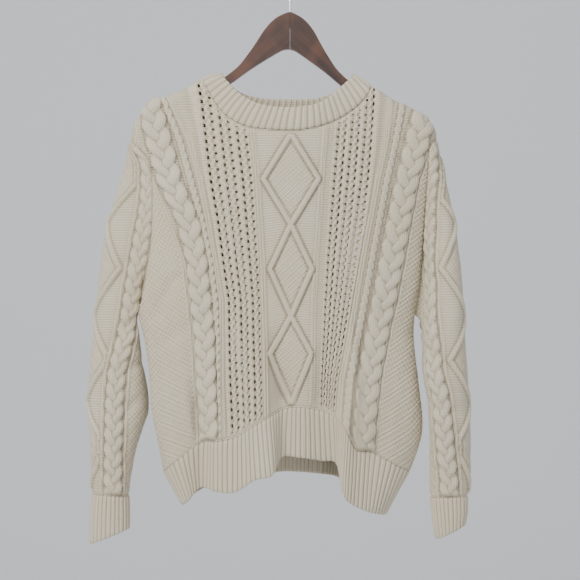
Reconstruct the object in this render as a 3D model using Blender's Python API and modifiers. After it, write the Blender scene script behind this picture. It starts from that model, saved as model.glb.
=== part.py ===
"""A cable knit sweater hanging on a wooden hanger, as one closed solid for each knitted or wooden piece.

Metres, +Z up. +X is to the right as seen from the front, as are left and right in the names, and the front
faces -Y. The origin is the inner crown of the hanger's hook, which rests on a rail. Every knitted piece is
a wall of cloth: its outer face is worked out as a grid of points, pieces that are sewn together share their
seam points there, and the inner face lies one wall further in along the shared normals.
"""

import math

import bmesh
import bpy
import numpy as np

# Driving dimensions.
WALL = 0.003  # thickness of the knitted cloth
SEAM_HALF_GAP = 0.0002  # each piece stops this far from the seam's middle, where the seam runs flat
SHARP_SEAM_GAP = 0.0032  # what a seam that turns back on itself would add to that
THINNEST = 0.25  # share of the wall left where a seam turns sharply, as at the underarm
RIDGE_RADIUS = 0.0115  # bend of the cloth over the hanger's top edge
SIDE_POWER = 4.0  # how square the body's side folds are, seen from above
SLEEVE_POWER = 2.3  # how square a sleeve's section is

HANGER_THICKNESS = 0.011
HANGER_TILT = math.radians(2.2)  # the right arm hangs lower
HANGER_EDGE = 0.0028  # rounding of the wood's long edges
HANGER_PEAK = -0.070  # top of the wood, under the hook's crown
JOINT_GAP = 0.00015  # each arm stops this far from the middle joint

WIRE_RADIUS = 0.0018
HOOK_RADIUS = 0.0185  # inside of the hook's bend
STEM_FOOT = -0.094  # the wire ends in the wood here
BORE_CLEARANCE = 0.0003

# Seams of the body, each a smooth curve through its rows from the shoulder down.
# x, y, z
ARMHOLE_FRONT_LEFT = (
    (-0.233, 0.000, -0.256),
    (-0.225, -0.009, -0.265),
    (-0.216, -0.012, -0.273),
    (-0.207, -0.014, -0.286),
    (-0.201, -0.015, -0.312),
    (-0.200, -0.014, -0.347),
    (-0.202, -0.010, -0.396),
    (-0.206, -0.004, -0.438),
    (-0.215, 0.004, -0.479),
    (-0.223, 0.010, -0.511),
)
ARMHOLE_BACK_LEFT = (
    (-0.233, 0.000, -0.256),
    (-0.228, 0.009, -0.264),
    (-0.220, 0.013, -0.276),
    (-0.213, 0.017, -0.300),
    (-0.210, 0.020, -0.345),
    (-0.211, 0.021, -0.396),
    (-0.213, 0.019, -0.438),
    (-0.218, 0.016, -0.479),
    (-0.223, 0.010, -0.511),
)
ARMHOLE_FRONT_RIGHT = (
    (0.215, 0.000, -0.256),
    (0.207, -0.009, -0.261),
    (0.202, -0.012, -0.273),
    (0.202, -0.010, -0.298),
    (0.200, -0.006, -0.331),
    (0.197, -0.002, -0.376),
    (0.194, 0.001, -0.419),
    (0.190, 0.003, -0.470),
    (0.183, 0.004, -0.514),
)
ARMHOLE_BACK_RIGHT = (
    (0.215, 0.000, -0.256),
    (0.209, 0.009, -0.263),
    (0.203, 0.014, -0.276),
    (0.197, 0.018, -0.300),
    (0.194, 0.020, -0.345),
    (0.193, 0.020, -0.396),
    (0.191, 0.018, -0.438),
    (0.187, 0.012, -0.480),
    (0.183, 0.004, -0.514),
)
SIDE_LEFT = (
    (-0.223, 0.010, -0.511),
    (-0.220, 0.008, -0.528),
    (-0.212, 0.006, -0.560),
    (-0.206, 0.004, -0.611),
    (-0.203, 0.002, -0.656),
    (-0.193, 0.001, -0.704),
    (-0.186, 0.000, -0.744),
)
SIDE_RIGHT = (
    (0.183, 0.004, -0.514),
    (0.182, 0.006, -0.551),
    (0.189, 0.008, -0.612),
    (0.195, 0.008, -0.672),
    (0.190, 0.006, -0.705),
    (0.177, 0.004, -0.741),
)
HEM_SIDE_LEFT = (
    (-0.186, 0.000, -0.744),
    (-0.173, -0.001, -0.768),
    (-0.159, -0.002, -0.791),
)
HEM_SIDE_RIGHT = (
    (0.177, 0.004, -0.741),
    (0.156, 0.002, -0.769),
    (0.142, 0.000, -0.801),
)

# The shoulder line and the neckline of each panel, from the shoulder point inwards.
# x, z
SHOULDER_LEFT = (
    (-0.233, -0.256),
    (-0.229, -0.235),
    (-0.219, -0.220),
    (-0.211, -0.208),
    (-0.203, -0.200),
    (-0.184, -0.195),
    (-0.156, -0.183),
    (-0.138, -0.174),
    (-0.129, -0.167),
)
SHOULDER_RIGHT = (
    (0.215, -0.256),
    (0.213, -0.243),
    (0.207, -0.232),
    (0.197, -0.222),
    (0.183, -0.213),
    (0.169, -0.206),
    (0.152, -0.199),
    (0.138, -0.189),
    (0.120, -0.179),
)
NECK_BASE_FRONT = (
    (-0.129, -0.167),
    (-0.120, -0.185),
    (-0.110, -0.203),
    (-0.096, -0.221),
    (-0.075, -0.235),
    (-0.049, -0.243),
    (0.000, -0.246),
    (0.025, -0.244),
    (0.052, -0.237),
    (0.074, -0.227),
    (0.093, -0.214),
    (0.110, -0.197),
    (0.120, -0.179),
)
NECK_BASE_BACK = (
    (-0.129, -0.167),
    (-0.119, -0.186),
    (-0.100, -0.205),
    (-0.075, -0.219),
    (-0.042, -0.228),
    (0.000, -0.231),
    (0.040, -0.229),
    (0.072, -0.221),
    (0.096, -0.208),
    (0.112, -0.193),
    (0.120, -0.179),
)

# The neckband's top edge.
# x, y, z
NECK_TOP_FRONT = (
    (-0.100, 0.000, -0.160),
    (-0.098, -0.0105, -0.166),
    (-0.091, -0.016, -0.174),
    (-0.080, -0.021, -0.186),
    (-0.065, -0.026, -0.198),
    (-0.047, -0.030, -0.207),
    (-0.025, -0.033, -0.212),
    (0.005, -0.034, -0.213),
    (0.032, -0.033, -0.210),
    (0.052, -0.029, -0.201),
    (0.069, -0.022, -0.187),
    (0.082, -0.016, -0.175),
    (0.091, -0.0105, -0.166),
    (0.093, 0.000, -0.160),
)
NECK_TOP_BACK = (
    (-0.100, 0.000, -0.160),
    (-0.098, 0.0105, -0.166),
    (-0.090, 0.0145, -0.174),
    (-0.073, 0.018, -0.187),
    (-0.048, 0.021, -0.194),
    (-0.018, 0.023, -0.196),
    (0.028, 0.023, -0.196),
    (0.053, 0.020, -0.192),
    (0.073, 0.016, -0.183),
    (0.085, 0.0145, -0.174),
    (0.091, 0.0105, -0.166),
    (0.093, 0.000, -0.160),
)

# The body's lower folds, a row for each crest, trough or side turn, across the panel. Each is where the
# fold crosses the top of the hem rib and the rib's free edge. Depth is forward of the side seams (backward
# on the back), and rise is the share of the panel's height that the fold reaches up.
# rib_x, rib_z, rib_depth, hem_x, hem_z, hem_depth, rise
FRONT_FOLDS = (
    (-0.186, -0.744, 0.000, -0.159, -0.791, 0.002, 0.10),
    (-0.180, -0.738, 0.015, -0.155, -0.789, 0.017, 0.10),
    (-0.162, -0.723, 0.026, -0.145, -0.780, 0.027, 0.20),
    (-0.128, -0.699, 0.023, -0.129, -0.764, 0.020, 0.42),
    (-0.106, -0.696, 0.041, -0.106, -0.768, 0.043, 0.36),
    (-0.079, -0.690, 0.042, -0.079, -0.768, 0.047, 0.30),
    (-0.055, -0.675, 0.047, -0.051, -0.750, 0.056, 0.34),
    (-0.032, -0.662, 0.044, -0.025, -0.743, 0.056, 0.30),
    (-0.009, -0.650, 0.026, -0.012, -0.720, 0.024, 0.36),
    (0.015, -0.647, 0.035, 0.015, -0.720, 0.030, 0.28),
    (0.043, -0.652, 0.030, 0.046, -0.725, 0.024, 0.30),
    (0.064, -0.661, 0.036, 0.067, -0.729, 0.032, 0.30),
    (0.081, -0.682, 0.057, 0.076, -0.769, 0.066, 0.40),
    (0.096, -0.708, 0.051, 0.091, -0.785, 0.061, 0.32),
    (0.117, -0.711, 0.040, 0.110, -0.795, 0.050, 0.34),
    (0.148, -0.728, 0.031, 0.128, -0.801, 0.036, 0.16),
    (0.170, -0.740, 0.014, 0.139, -0.804, 0.018, 0.10),
    (0.177, -0.741, -0.004, 0.142, -0.801, 0.000, 0.10),
)
BACK_FOLDS = (
    (-0.186, -0.744, 0.000, -0.159, -0.791, -0.002, 0.10),
    (-0.178, -0.734, 0.017, -0.153, -0.786, 0.016, 0.10),
    (-0.155, -0.713, 0.032, -0.140, -0.777, 0.033, 0.24),
    (-0.126, -0.697, 0.048, -0.118, -0.767, 0.055, 0.36),
    (-0.098, -0.688, 0.037, -0.096, -0.760, 0.036, 0.30),
    (-0.072, -0.682, 0.026, -0.074, -0.755, 0.021, 0.42),
    (-0.042, -0.679, 0.041, -0.044, -0.752, 0.044, 0.30),
    (-0.012, -0.675, 0.047, -0.012, -0.748, 0.053, 0.34),
    (0.018, -0.675, 0.036, 0.016, -0.747, 0.036, 0.28),
    (0.046, -0.677, 0.025, 0.044, -0.748, 0.019, 0.40),
    (0.072, -0.684, 0.040, 0.068, -0.754, 0.042, 0.32),
    (0.098, -0.696, 0.050, 0.092, -0.768, 0.058, 0.36),
    (0.124, -0.709, 0.038, 0.113, -0.783, 0.042, 0.26),
    (0.148, -0.722, 0.030, 0.129, -0.795, 0.030, 0.18),
    (0.169, -0.735, 0.018, 0.138, -0.802, 0.016, 0.10),
    (0.177, -0.741, 0.004, 0.142, -0.801, 0.000, 0.10),
)

# How far the plain cloth stands off the side seams' plane, down the body.
# z, front, back
DEPTHS = (
    (-0.160, 0.0118, 0.0118),
    (-0.215, 0.0128, 0.0128),
    (-0.260, 0.0175, 0.0170),
    (-0.350, 0.0270, 0.0250),
    (-0.450, 0.0340, 0.0310),
    (-0.550, 0.0375, 0.0350),
    (-0.650, 0.0400, 0.0380),
    (-0.750, 0.0420, 0.0400),
)
# The neckline stands off further in the middle.
# extra depth, its reach across, its reach down, height of its middle
NECK_BULGE_FRONT = (0.0195, 0.120, 0.110, -0.246)
NECK_BULGE_BACK = (0.0110, 0.110, 0.090, -0.231)

# Sections of each sleeve below the armhole, from its outer edge to its inner edge.
# outer_x, outer_z, inner_x, inner_z, y, half_depth
SLEEVE_LEFT = (
    (-0.241, -0.283, -0.229, -0.520, 0.013, 0.016),
    (-0.246, -0.303, -0.229, -0.535, 0.018, 0.018),
    (-0.254, -0.328, -0.226, -0.554, 0.022, 0.021),
    (-0.264, -0.361, -0.222, -0.574, 0.026, 0.025),
    (-0.274, -0.401, -0.218, -0.593, 0.029, 0.028),
    (-0.281, -0.446, -0.214, -0.612, 0.031, 0.030),
    (-0.286, -0.492, -0.211, -0.630, 0.032, 0.031),
    (-0.290, -0.533, -0.210, -0.647, 0.032, 0.032),
    (-0.294, -0.567, -0.211, -0.661, 0.031, 0.032),
    (-0.297, -0.603, -0.216, -0.675, 0.029, 0.031),
    (-0.298, -0.636, -0.222, -0.693, 0.027, 0.030),
    (-0.297, -0.668, -0.228, -0.713, 0.024, 0.029),
    (-0.295, -0.703, -0.232, -0.735, 0.021, 0.028),
    (-0.293, -0.740, -0.236, -0.757, 0.018, 0.026),
    (-0.291, -0.777, -0.238, -0.780, 0.016, 0.025),
)
SLEEVE_RIGHT = (
    (0.220, -0.282, 0.190, -0.521, 0.003, 0.016),
    (0.225, -0.304, 0.193, -0.535, 0.000, 0.020),
    (0.231, -0.332, 0.194, -0.552, -0.003, 0.024),
    (0.238, -0.367, 0.195, -0.570, -0.006, 0.027),
    (0.245, -0.408, 0.194, -0.590, -0.008, 0.029),
    (0.249, -0.446, 0.196, -0.609, -0.009, 0.030),
    (0.252, -0.486, 0.199, -0.627, -0.010, 0.031),
    (0.254, -0.526, 0.202, -0.644, -0.010, 0.031),
    (0.256, -0.564, 0.203, -0.661, -0.010, 0.030),
    (0.259, -0.603, 0.204, -0.678, -0.009, 0.029),
    (0.261, -0.638, 0.205, -0.696, -0.007, 0.028),
    (0.263, -0.671, 0.205, -0.715, -0.005, 0.027),
    (0.264, -0.706, 0.205, -0.736, -0.003, 0.026),
    (0.264, -0.743, 0.205, -0.757, -0.001, 0.025),
    (0.260, -0.778, 0.206, -0.780, 0.000, 0.024),
)
CUFF_LEFT = (
    (-0.294, -0.814, -0.237, -0.804, 0.015, 0.025),
    (-0.295, -0.850, -0.237, -0.828, 0.014, 0.024),
)
CUFF_RIGHT = (
    (0.260, -0.800, 0.209, -0.811, 0.000, 0.024),
    (0.257, -0.820, 0.213, -0.841, 0.000, 0.023),
)
# How much of the armhole seam's own bow each of the first sections keeps.
BOW_KEPT = (0.72, 0.48, 0.29, 0.15, 0.06)

# Drop below the shoulder point of each row of points along the armhole, and rows down each other piece.
ARMHOLE_DROPS = (
    0.0, 0.003, 0.008, 0.016, 0.030, 0.052, 0.080, 0.112, 0.146, 0.180, 0.212, 0.238, 0.255,
)
SIDE_ROWS = 8
SHOULDER_COLUMNS = 6
NECK_SHARES = (
    0.0, 0.025, 0.06, 0.11, 0.18, 0.26, 0.35, 0.45, 0.55, 0.65, 0.74, 0.82, 0.89, 0.94, 0.975, 1.0,
)
NECK_COLUMNS = len(NECK_SHARES) - 1
NECK_ROW_DROP = 0.012  # extra drop of the first row under the neckline, as a share of the panel's height
NECK_ROW_FADE = 0.15  # and how far down that extra drop fades out
SIDE_FALL = 7.0  # how much faster the armhole's own shape dies away inwards at the shoulder than at the hem
FIRST_NECK_FOLD = 4 / 17  # share of the panel's width that lies under each shoulder

# One arm of the hanger, seen from the front: its top edge from the peak out, and its lower edge back.
# It runs a little past the middle, where the joint's cut trims it square.
# distance from the middle, drop below the peak
ARM_TOP = (
    (-0.006, 0.000),
    (0.000, 0.000),
    (0.016, 0.007),
    (0.028, 0.017),
    (0.038, 0.030),
    (0.048, 0.047),
    (0.061, 0.067),
    (0.075, 0.085),
    (0.100, 0.105),
    (0.128, 0.119),
    (0.156, 0.134),
    (0.180, 0.146),
    (0.188, 0.151),
)
ARM_TIP = (
    (0.192, 0.156),
    (0.191, 0.163),
    (0.185, 0.167),
)
ARM_BOTTOM = (
    (0.150, 0.147),
    (0.088, 0.111),
    (0.077, 0.104),
    (0.058, 0.089),
    (0.038, 0.075),
    (0.015, 0.060),
    (0.007, 0.056),
    (0.000, 0.055),
    (-0.006, 0.055),
)


def clear_scene():
    for obj in list(bpy.data.objects):
        bpy.data.objects.remove(obj, do_unlink=True)


def make_collection(name):
    collection = bpy.data.collections.new(name)
    bpy.context.scene.collection.children.link(collection)
    return collection


def make_material(name, colour, roughness, metallic=0.0):
    material = bpy.data.materials.new(name)
    material.use_nodes = True
    shader = material.node_tree.nodes["Principled BSDF"]
    shader.inputs["Base Color"].default_value = (*colour, 1.0)
    shader.inputs["Roughness"].default_value = roughness
    shader.inputs["Metallic"].default_value = metallic
    material.diffuse_color = (*colour, 1.0)
    return material


def dense_curve(rows, steps=16):
    """A Catmull-Rom curve through the rows, as many close points."""
    points = np.array(rows, float)
    first = 2 * points[0] - points[1]
    last = 2 * points[-1] - points[-2]
    padded = np.vstack([first, points, last])
    u = np.linspace(0.0, 1.0, steps, endpoint=False)[:, None]
    pieces = []
    for i in range(1, len(padded) - 2):
        before, start, end, after = padded[i - 1 : i + 3]
        slope = end - before
        bend = 2 * before - 5 * start + 4 * end - after
        twist = 3 * start - before - 3 * end + after
        pieces.append(start + 0.5 * u * (slope + u * (bend + u * twist)))
    return np.vstack(pieces + [points[-1:]])


def along(rows, shares):
    """Points at these shares of the length of the smooth curve through the rows."""
    dense = dense_curve(rows)
    steps = np.linalg.norm(np.diff(dense, axis=0), axis=1)
    length = np.concatenate([[0.0], np.cumsum(steps)])
    wanted = np.asarray(shares) * length[-1]
    return np.stack([np.interp(wanted, length, axis) for axis in dense.T], axis=1)


def by_row(rows, places):
    """The smooth curve through the rows, read at these places, where row k of n sits at k / (n - 1)."""
    dense = dense_curve(rows)
    grid = np.linspace(0.0, 1.0, len(dense))
    return np.stack([np.interp(places, grid, axis) for axis in dense.T], axis=1)


def column_places():
    """Where each column of points crosses the lower folds, from the left side seam at 0 to the right at 1."""
    left = np.linspace(0.0, FIRST_NECK_FOLD, SHOULDER_COLUMNS + 1)
    middle = np.linspace(FIRST_NECK_FOLD, 1 - FIRST_NECK_FOLD, NECK_COLUMNS + 1)
    return np.concatenate([left, middle[1:-1], 1 - left[::-1]])


def armhole_shares():
    return np.array(ARMHOLE_DROPS) / ARMHOLE_DROPS[-1]


def edge_points(armhole, side):
    """One side of a panel, from the hem rib up to the shoulder point."""
    lower = along(side, np.linspace(1.0, 0.0, SIDE_ROWS + 1))
    upper = along(armhole, armhole_shares()[::-1])
    return np.vstack([lower[:-1], upper])


def top_edge(neck_base):
    """The shoulder line, the neckline and the other shoulder line, as x and z."""
    shoulder = np.linspace(0.0, 1.0, SHOULDER_COLUMNS + 1)
    left = along(SHOULDER_LEFT, shoulder)
    right = along(SHOULDER_RIGHT, shoulder)[::-1]
    return np.vstack([left[:-1], along(neck_base, NECK_SHARES), right[1:]])


def distance_from_ridge(top):
    """How far each point of the top edge is from the shoulder line, which lies on the hanger."""
    steps = np.linalg.norm(np.diff(top, axis=0), axis=1)
    length = np.concatenate([[0.0], np.cumsum(steps)])
    start, end = length[SHOULDER_COLUMNS], length[SHOULDER_COLUMNS + NECK_COLUMNS]
    return np.clip(np.minimum(length - start, end - length), 0.0, None)


def quarter_round(distance):
    """Rises from 0 at the ridge to 1 past the bend, as a quarter circle."""
    inside = np.clip(1 - distance / RIDGE_RADIUS, 0.0, 1.0)
    return np.sqrt(1 - inside**2)


def panel_grid(side, armholes, neck_base, folds, depth_column, bulge):
    """The outer face of the front (side -1) or back (side 1), row 0 at the hem rib."""
    left = edge_points(armholes[0], SIDE_LEFT)
    right = edge_points(armholes[1], SIDE_RIGHT)
    top = top_edge(neck_base)
    places = column_places()
    fold = by_row(folds, places)
    heights = (left[:, 2] - left[0, 2]) / (left[-1, 2] - left[0, 2])
    from_ridge = distance_from_ridge(top)
    below = 1 - heights[:, None]
    under_neck = np.clip(from_ridge / RIDGE_RADIUS, 0.0, 1.0)[None, :]
    extra_drop = NECK_ROW_DROP * np.exp(-below / NECK_ROW_FADE) * under_neck
    t = heights[:, None] - extra_drop
    t[0], t[-1] = 0.0, 1.0
    s = places[None, :]

    flat = []
    fall = 1 + SIDE_FALL * heights[:, None] ** 4
    for axis, fold_axis in ((0, 0), (2, 1)):
        bottom, upper = fold[:, fold_axis], top[:, fold_axis]
        points = (1 - t) * bottom[None, :] + t * upper[None, :]
        for edge, end, near in ((left, 0, 1 - s), (right, -1, s)):
            straight = below * bottom[end] + (1 - below) * upper[end]
            points = points + near**fall * (edge[:, axis, None] - straight)
        flat.append(points)
    x, z = flat

    seam_depth = side * ((1 - s) * left[:, 1, None] + s * right[:, 1, None])
    middle = 0.5 * (x[:, :1] + x[:, -1:])
    across = np.clip(np.abs(x - middle) / (0.5 * (x[:, -1:] - x[:, :1])), 0.0, 1.0)
    shape = (1 - across**SIDE_POWER) ** (1 / 2.2)
    table = np.array(DEPTHS)[::-1]
    plain = np.interp(z, table[:, 0], table[:, depth_column])
    extra, reach_x, reach_z, middle_z = bulge
    plain = plain + extra * np.exp(-((x / reach_x) ** 2) - ((z - middle_z) / reach_z) ** 2)
    depth = seam_depth + (plain - seam_depth) * shape
    fade = np.clip(1 - t / fold[None, :, 6], 0.0, 1.0)
    fade = fade**2 * (3 - 2 * fade)
    depth = depth + fade * (fold[None, :, 2] - depth)
    ridge = (top[None, :, 1] - z) + from_ridge[None, :]
    depth = depth * quarter_round(np.clip(ridge, 0.0, None))
    grid = np.stack([x, side * depth, z], axis=2)
    grid[:, 0] = left
    grid[:, -1] = right
    return grid


def hem_grid(side, panel, folds):
    """The hem rib under a panel, row 0 at its free edge."""
    fold = by_row(folds, column_places())
    free = np.stack([fold[:, 3], side * fold[:, 5], fold[:, 4]], axis=1)
    free[0] = HEM_SIDE_LEFT[-1]
    free[-1] = HEM_SIDE_RIGHT[-1]
    joined = panel[0]
    middle = 0.5 * (free + joined)
    middle[0] = along(HEM_SIDE_LEFT, [0.5])[0]
    middle[-1] = along(HEM_SIDE_RIGHT, [0.5])[0]
    return np.stack([free, middle, joined])


def section(outer_x, outer_z, inner_x, inner_z, y, half_depth, count):
    """A ring from the sleeve's outer edge, along its front to the inner edge, and back along its rear."""
    angle = np.linspace(0.0, 2 * np.pi, count, endpoint=False)
    bend = 2 / SLEEVE_POWER
    cos = np.sign(np.cos(angle)) * np.abs(np.cos(angle)) ** bend
    sin = np.sign(np.sin(angle)) * np.abs(np.sin(angle)) ** bend
    x = 0.5 * (outer_x + inner_x) + 0.5 * (outer_x - inner_x) * cos
    z = 0.5 * (outer_z + inner_z) + 0.5 * (outer_z - inner_z) * cos
    return np.stack([x, y - half_depth * sin, z], axis=1)


def armhole_ring(front_panel, back_panel, column):
    """The armhole's seam points: down the front from the shoulder, then up the back."""
    count = len(ARMHOLE_DROPS)
    down = front_panel[::-1, column][:count]
    up = back_panel[::-1, column][:count][::-1]
    return np.vstack([down, up[1:-1]])


def sleeve_grid(ring, sections):
    """The sleeve's outer face, row 0 at the cuff."""
    outer, inner = ring[0], ring[len(ring) // 2]
    straight = section(outer[0], outer[2], inner[0], inner[2], 0.002, 0.014, len(ring))
    bow = ring - straight
    rows = [ring]
    for i, sizes in enumerate(sections):
        kept = BOW_KEPT[i] if i < len(BOW_KEPT) else 0.0
        rows.append(section(*sizes, len(ring)) + kept * bow)
    return np.stack(rows[::-1])


def cuff_grid(sleeve, sections):
    """The cuff's outer face, row 0 at its free edge."""
    rows = [sleeve[0]] + [section(*sizes, sleeve.shape[1]) for sizes in sections]
    return np.stack(rows[::-1])


def neck_grid(front_panel, back_panel):
    """The neckband's outer face, row 0 at the neckline, from the left shoulder along the front and back."""
    neck = slice(SHOULDER_COLUMNS, SHOULDER_COLUMNS + NECK_COLUMNS + 1)
    base = np.vstack([front_panel[-1, neck], back_panel[-1, neck][::-1][1:-1]])
    upper = np.vstack([along(NECK_TOP_FRONT, NECK_SHARES), along(NECK_TOP_BACK, NECK_SHARES)[::-1][1:-1]])
    middle = 0.5 * (base + upper)
    return np.stack([base, middle, upper])


def grid_faces(rows, columns, closed):
    """Quads of a grid whose rows run up and whose columns run round, facing outwards."""
    faces = []
    for row in range(rows - 1):
        for column in range(columns if closed else columns - 1):
            after = (column + 1) % columns
            low, high = row * columns, (row + 1) * columns
            faces.append((low + column, low + after, high + after, high + column))
    return faces


def shared_seams(grids):
    """The way in and the sharpness at every point of every grid, shared by all the pieces that meet there.

    The way in is the averaged normal times the wall, thinner where the faces round the point turn sharply.
    Sharpness runs from 0 on flat cloth to 1 where a face is square to the averaged normal.
    """
    faces_at = {}
    keys = {}
    for name, (grid, closed, turned) in grids.items():
        points = grid.reshape(-1, 3)
        keys[name] = [tuple(key) for key in np.round(points * 1e6).astype(int)]
        for face in grid_faces(grid.shape[0], grid.shape[1], closed):
            a, b, c, d = points[list(face)]
            normal = np.cross(c - a, d - b) * (-1 if turned else 1)
            for corner in face:
                faces_at.setdefault(keys[name][corner], []).append(normal)
    inward, sharpness = {}, {}
    for key, found in faces_at.items():
        found = np.array(found)
        mean = found.sum(axis=0)
        mean = mean / np.linalg.norm(mean)
        least = (found @ mean / np.linalg.norm(found, axis=1)).min()
        inward[key] = -mean * WALL * np.clip(least**2 * 1.35, THINNEST, 1.0)
        sharpness[key] = np.clip(1 - least, 0.0, 1.0)
    return {
        name: (
            np.array([inward[key] for key in keys[name]]).reshape(grid.shape),
            np.array([sharpness[key] for key in keys[name]]).reshape(grid.shape[:2]),
        )
        for name, (grid, _, _) in grids.items()
    }


def pulled_back(grid, sharpness, closed, sewn):
    """The shift that takes each sewn edge of a grid off its seam, across the seam and into the cloth."""
    shift = np.zeros_like(grid)
    for edge in sewn:
        sideways = edge in ("left", "right")
        turned, moved = (np.swapaxes(a, 0, 1) if sideways else a for a in (grid, shift))
        sharp = sharpness.T if sideways else sharpness
        at, next_in = (0, 1) if edge in ("bottom", "left") else (-1, -2)
        seam = turned[at]
        if closed:
            run = np.roll(seam, -1, axis=0) - np.roll(seam, 1, axis=0)
        else:
            run = np.gradient(seam, axis=0)
        run = run / np.linalg.norm(run, axis=1)[:, None]
        inward = turned[next_in] - seam
        inward = inward - np.sum(inward * run, axis=1)[:, None] * run
        inward = inward / np.linalg.norm(inward, axis=1)[:, None]
        moved[at] += (SEAM_HALF_GAP + SHARP_SEAM_GAP * sharp[at, :, None]) * inward
    return shift


def rim_faces(points, start, end):
    """The wall's edge between two outer points, split along the same diagonal on both sides of a seam."""
    count = len(points)
    inner_start, inner_end = start + count, end + count
    if tuple(np.round(points[start], 6)) < tuple(np.round(points[end], 6)):
        return [(start, inner_end, end), (start, inner_start, inner_end)]
    return [(start, inner_start, end), (inner_start, inner_end, end)]


def wall_object(name, grid, inward, sharpness, closed, turned, sewn, material, collection):
    """A closed wall of cloth: the grid, the same grid one wall further in, and a rim round the edges."""
    shift = pulled_back(grid, sharpness, closed, sewn)
    points = grid.reshape(-1, 3)
    outer = (grid + shift).reshape(-1, 3)
    inner = (grid + shift + inward).reshape(-1, 3)
    rows, columns = grid.shape[:2]
    faces = grid_faces(rows, columns, closed)
    faces += [tuple(i + len(outer) for i in face[::-1]) for face in faces]
    top = (rows - 1) * columns
    for column in range(columns if closed else columns - 1):
        after = (column + 1) % columns
        faces += rim_faces(points, column, after)
        faces += rim_faces(points, top + after, top + column)
    if not closed:
        for row in range(rows - 1):
            low, high = row * columns, (row + 1) * columns
            faces += rim_faces(points, high, low)
            faces += rim_faces(points, low + columns - 1, high + columns - 1)
    if turned:
        faces = [face[::-1] for face in faces]
    mesh = bpy.data.meshes.new(name)
    mesh.from_pydata(np.vstack([outer, inner]).tolist(), [], faces)
    mesh.materials.append(material)
    mesh.shade_smooth()
    mesh.set_sharp_from_angle(angle=math.radians(50))
    obj = bpy.data.objects.new(name, mesh)
    collection.objects.link(obj)
    return obj


def garment_grids():
    """Every knitted piece: its outer face, whether it closes round, whether it runs the other way, its seams."""
    front = panel_grid(
        -1, (ARMHOLE_FRONT_LEFT, ARMHOLE_FRONT_RIGHT), NECK_BASE_FRONT, FRONT_FOLDS, 1, NECK_BULGE_FRONT
    )
    back = panel_grid(
        1, (ARMHOLE_BACK_LEFT, ARMHOLE_BACK_RIGHT), NECK_BASE_BACK, BACK_FOLDS, 2, NECK_BULGE_BACK
    )
    sleeve_left = sleeve_grid(armhole_ring(front, back, 0), SLEEVE_LEFT)
    sleeve_right = sleeve_grid(armhole_ring(front, back, -1), SLEEVE_RIGHT)
    grids = {
        "front_body": (front, False, False),
        "back_body": (back, False, True),
        "front_hem_rib": (hem_grid(-1, front, FRONT_FOLDS), False, False),
        "back_hem_rib": (hem_grid(1, back, BACK_FOLDS), False, True),
        "neckband": (neck_grid(front, back), True, False),
        "left_sleeve": (sleeve_left, True, False),
        "right_sleeve": (sleeve_right, True, True),
        "left_cuff": (cuff_grid(sleeve_left, CUFF_LEFT), True, False),
        "right_cuff": (cuff_grid(sleeve_right, CUFF_RIGHT), True, True),
    }
    sewn = {
        "front_body": ("bottom", "top", "left", "right"),
        "back_body": ("bottom", "top", "left", "right"),
        "front_hem_rib": ("top", "left", "right"),
        "back_hem_rib": ("top", "left", "right"),
        "neckband": ("bottom",),
        "left_sleeve": ("bottom", "top"),
        "right_sleeve": ("bottom", "top"),
        "left_cuff": ("top",),
        "right_cuff": ("top",),
    }
    return grids, sewn


def build_garment(collection):
    wool = make_material("cream_wool", (0.72, 0.66, 0.54), 0.9)
    rib = make_material("cream_rib", (0.74, 0.68, 0.56), 0.9)
    grids, sewn = garment_grids()
    seams = shared_seams(grids)
    for name, (grid, closed, turned) in grids.items():
        ribbed = name.endswith(("rib", "cuff", "band"))
        wall_object(
            name, grid, *seams[name], closed, turned, sewn[name], rib if ribbed else wool, collection
        )


def as_mesh(obj, collection):
    """The evaluated curve as a mesh object with its caps welded on; the curve is removed."""
    bpy.context.view_layer.update()
    graph = bpy.context.evaluated_depsgraph_get()
    mesh = bpy.data.meshes.new_from_object(obj.evaluated_get(graph))
    body = bmesh.new()
    body.from_mesh(mesh)
    bmesh.ops.remove_doubles(body, verts=body.verts, dist=0.00001)
    bmesh.ops.recalc_face_normals(body, faces=body.faces)
    body.to_mesh(mesh)
    body.free()
    name, place = obj.name, obj.matrix_world.copy()
    bpy.data.objects.remove(obj, do_unlink=True)
    made = bpy.data.objects.new(name, mesh)
    made.matrix_world = place
    collection.objects.link(made)
    return made


def build_bore_cutter(collection):
    """The hole for the hook's stem, down the middle joint."""
    top = HANGER_PEAK + 0.01
    foot = STEM_FOOT - BORE_CLEARANCE
    bpy.ops.mesh.primitive_cylinder_add(
        vertices=24, radius=WIRE_RADIUS + BORE_CLEARANCE, depth=top - foot, location=(0, 0, (top + foot) / 2)
    )
    cutter = bpy.context.object
    cutter.name = "stem_bore_cutter"
    cutter.display_type = "WIRE"
    cutter.hide_render = True
    for old in list(cutter.users_collection):
        old.objects.unlink(cutter)
    collection.objects.link(cutter)
    return cutter


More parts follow.
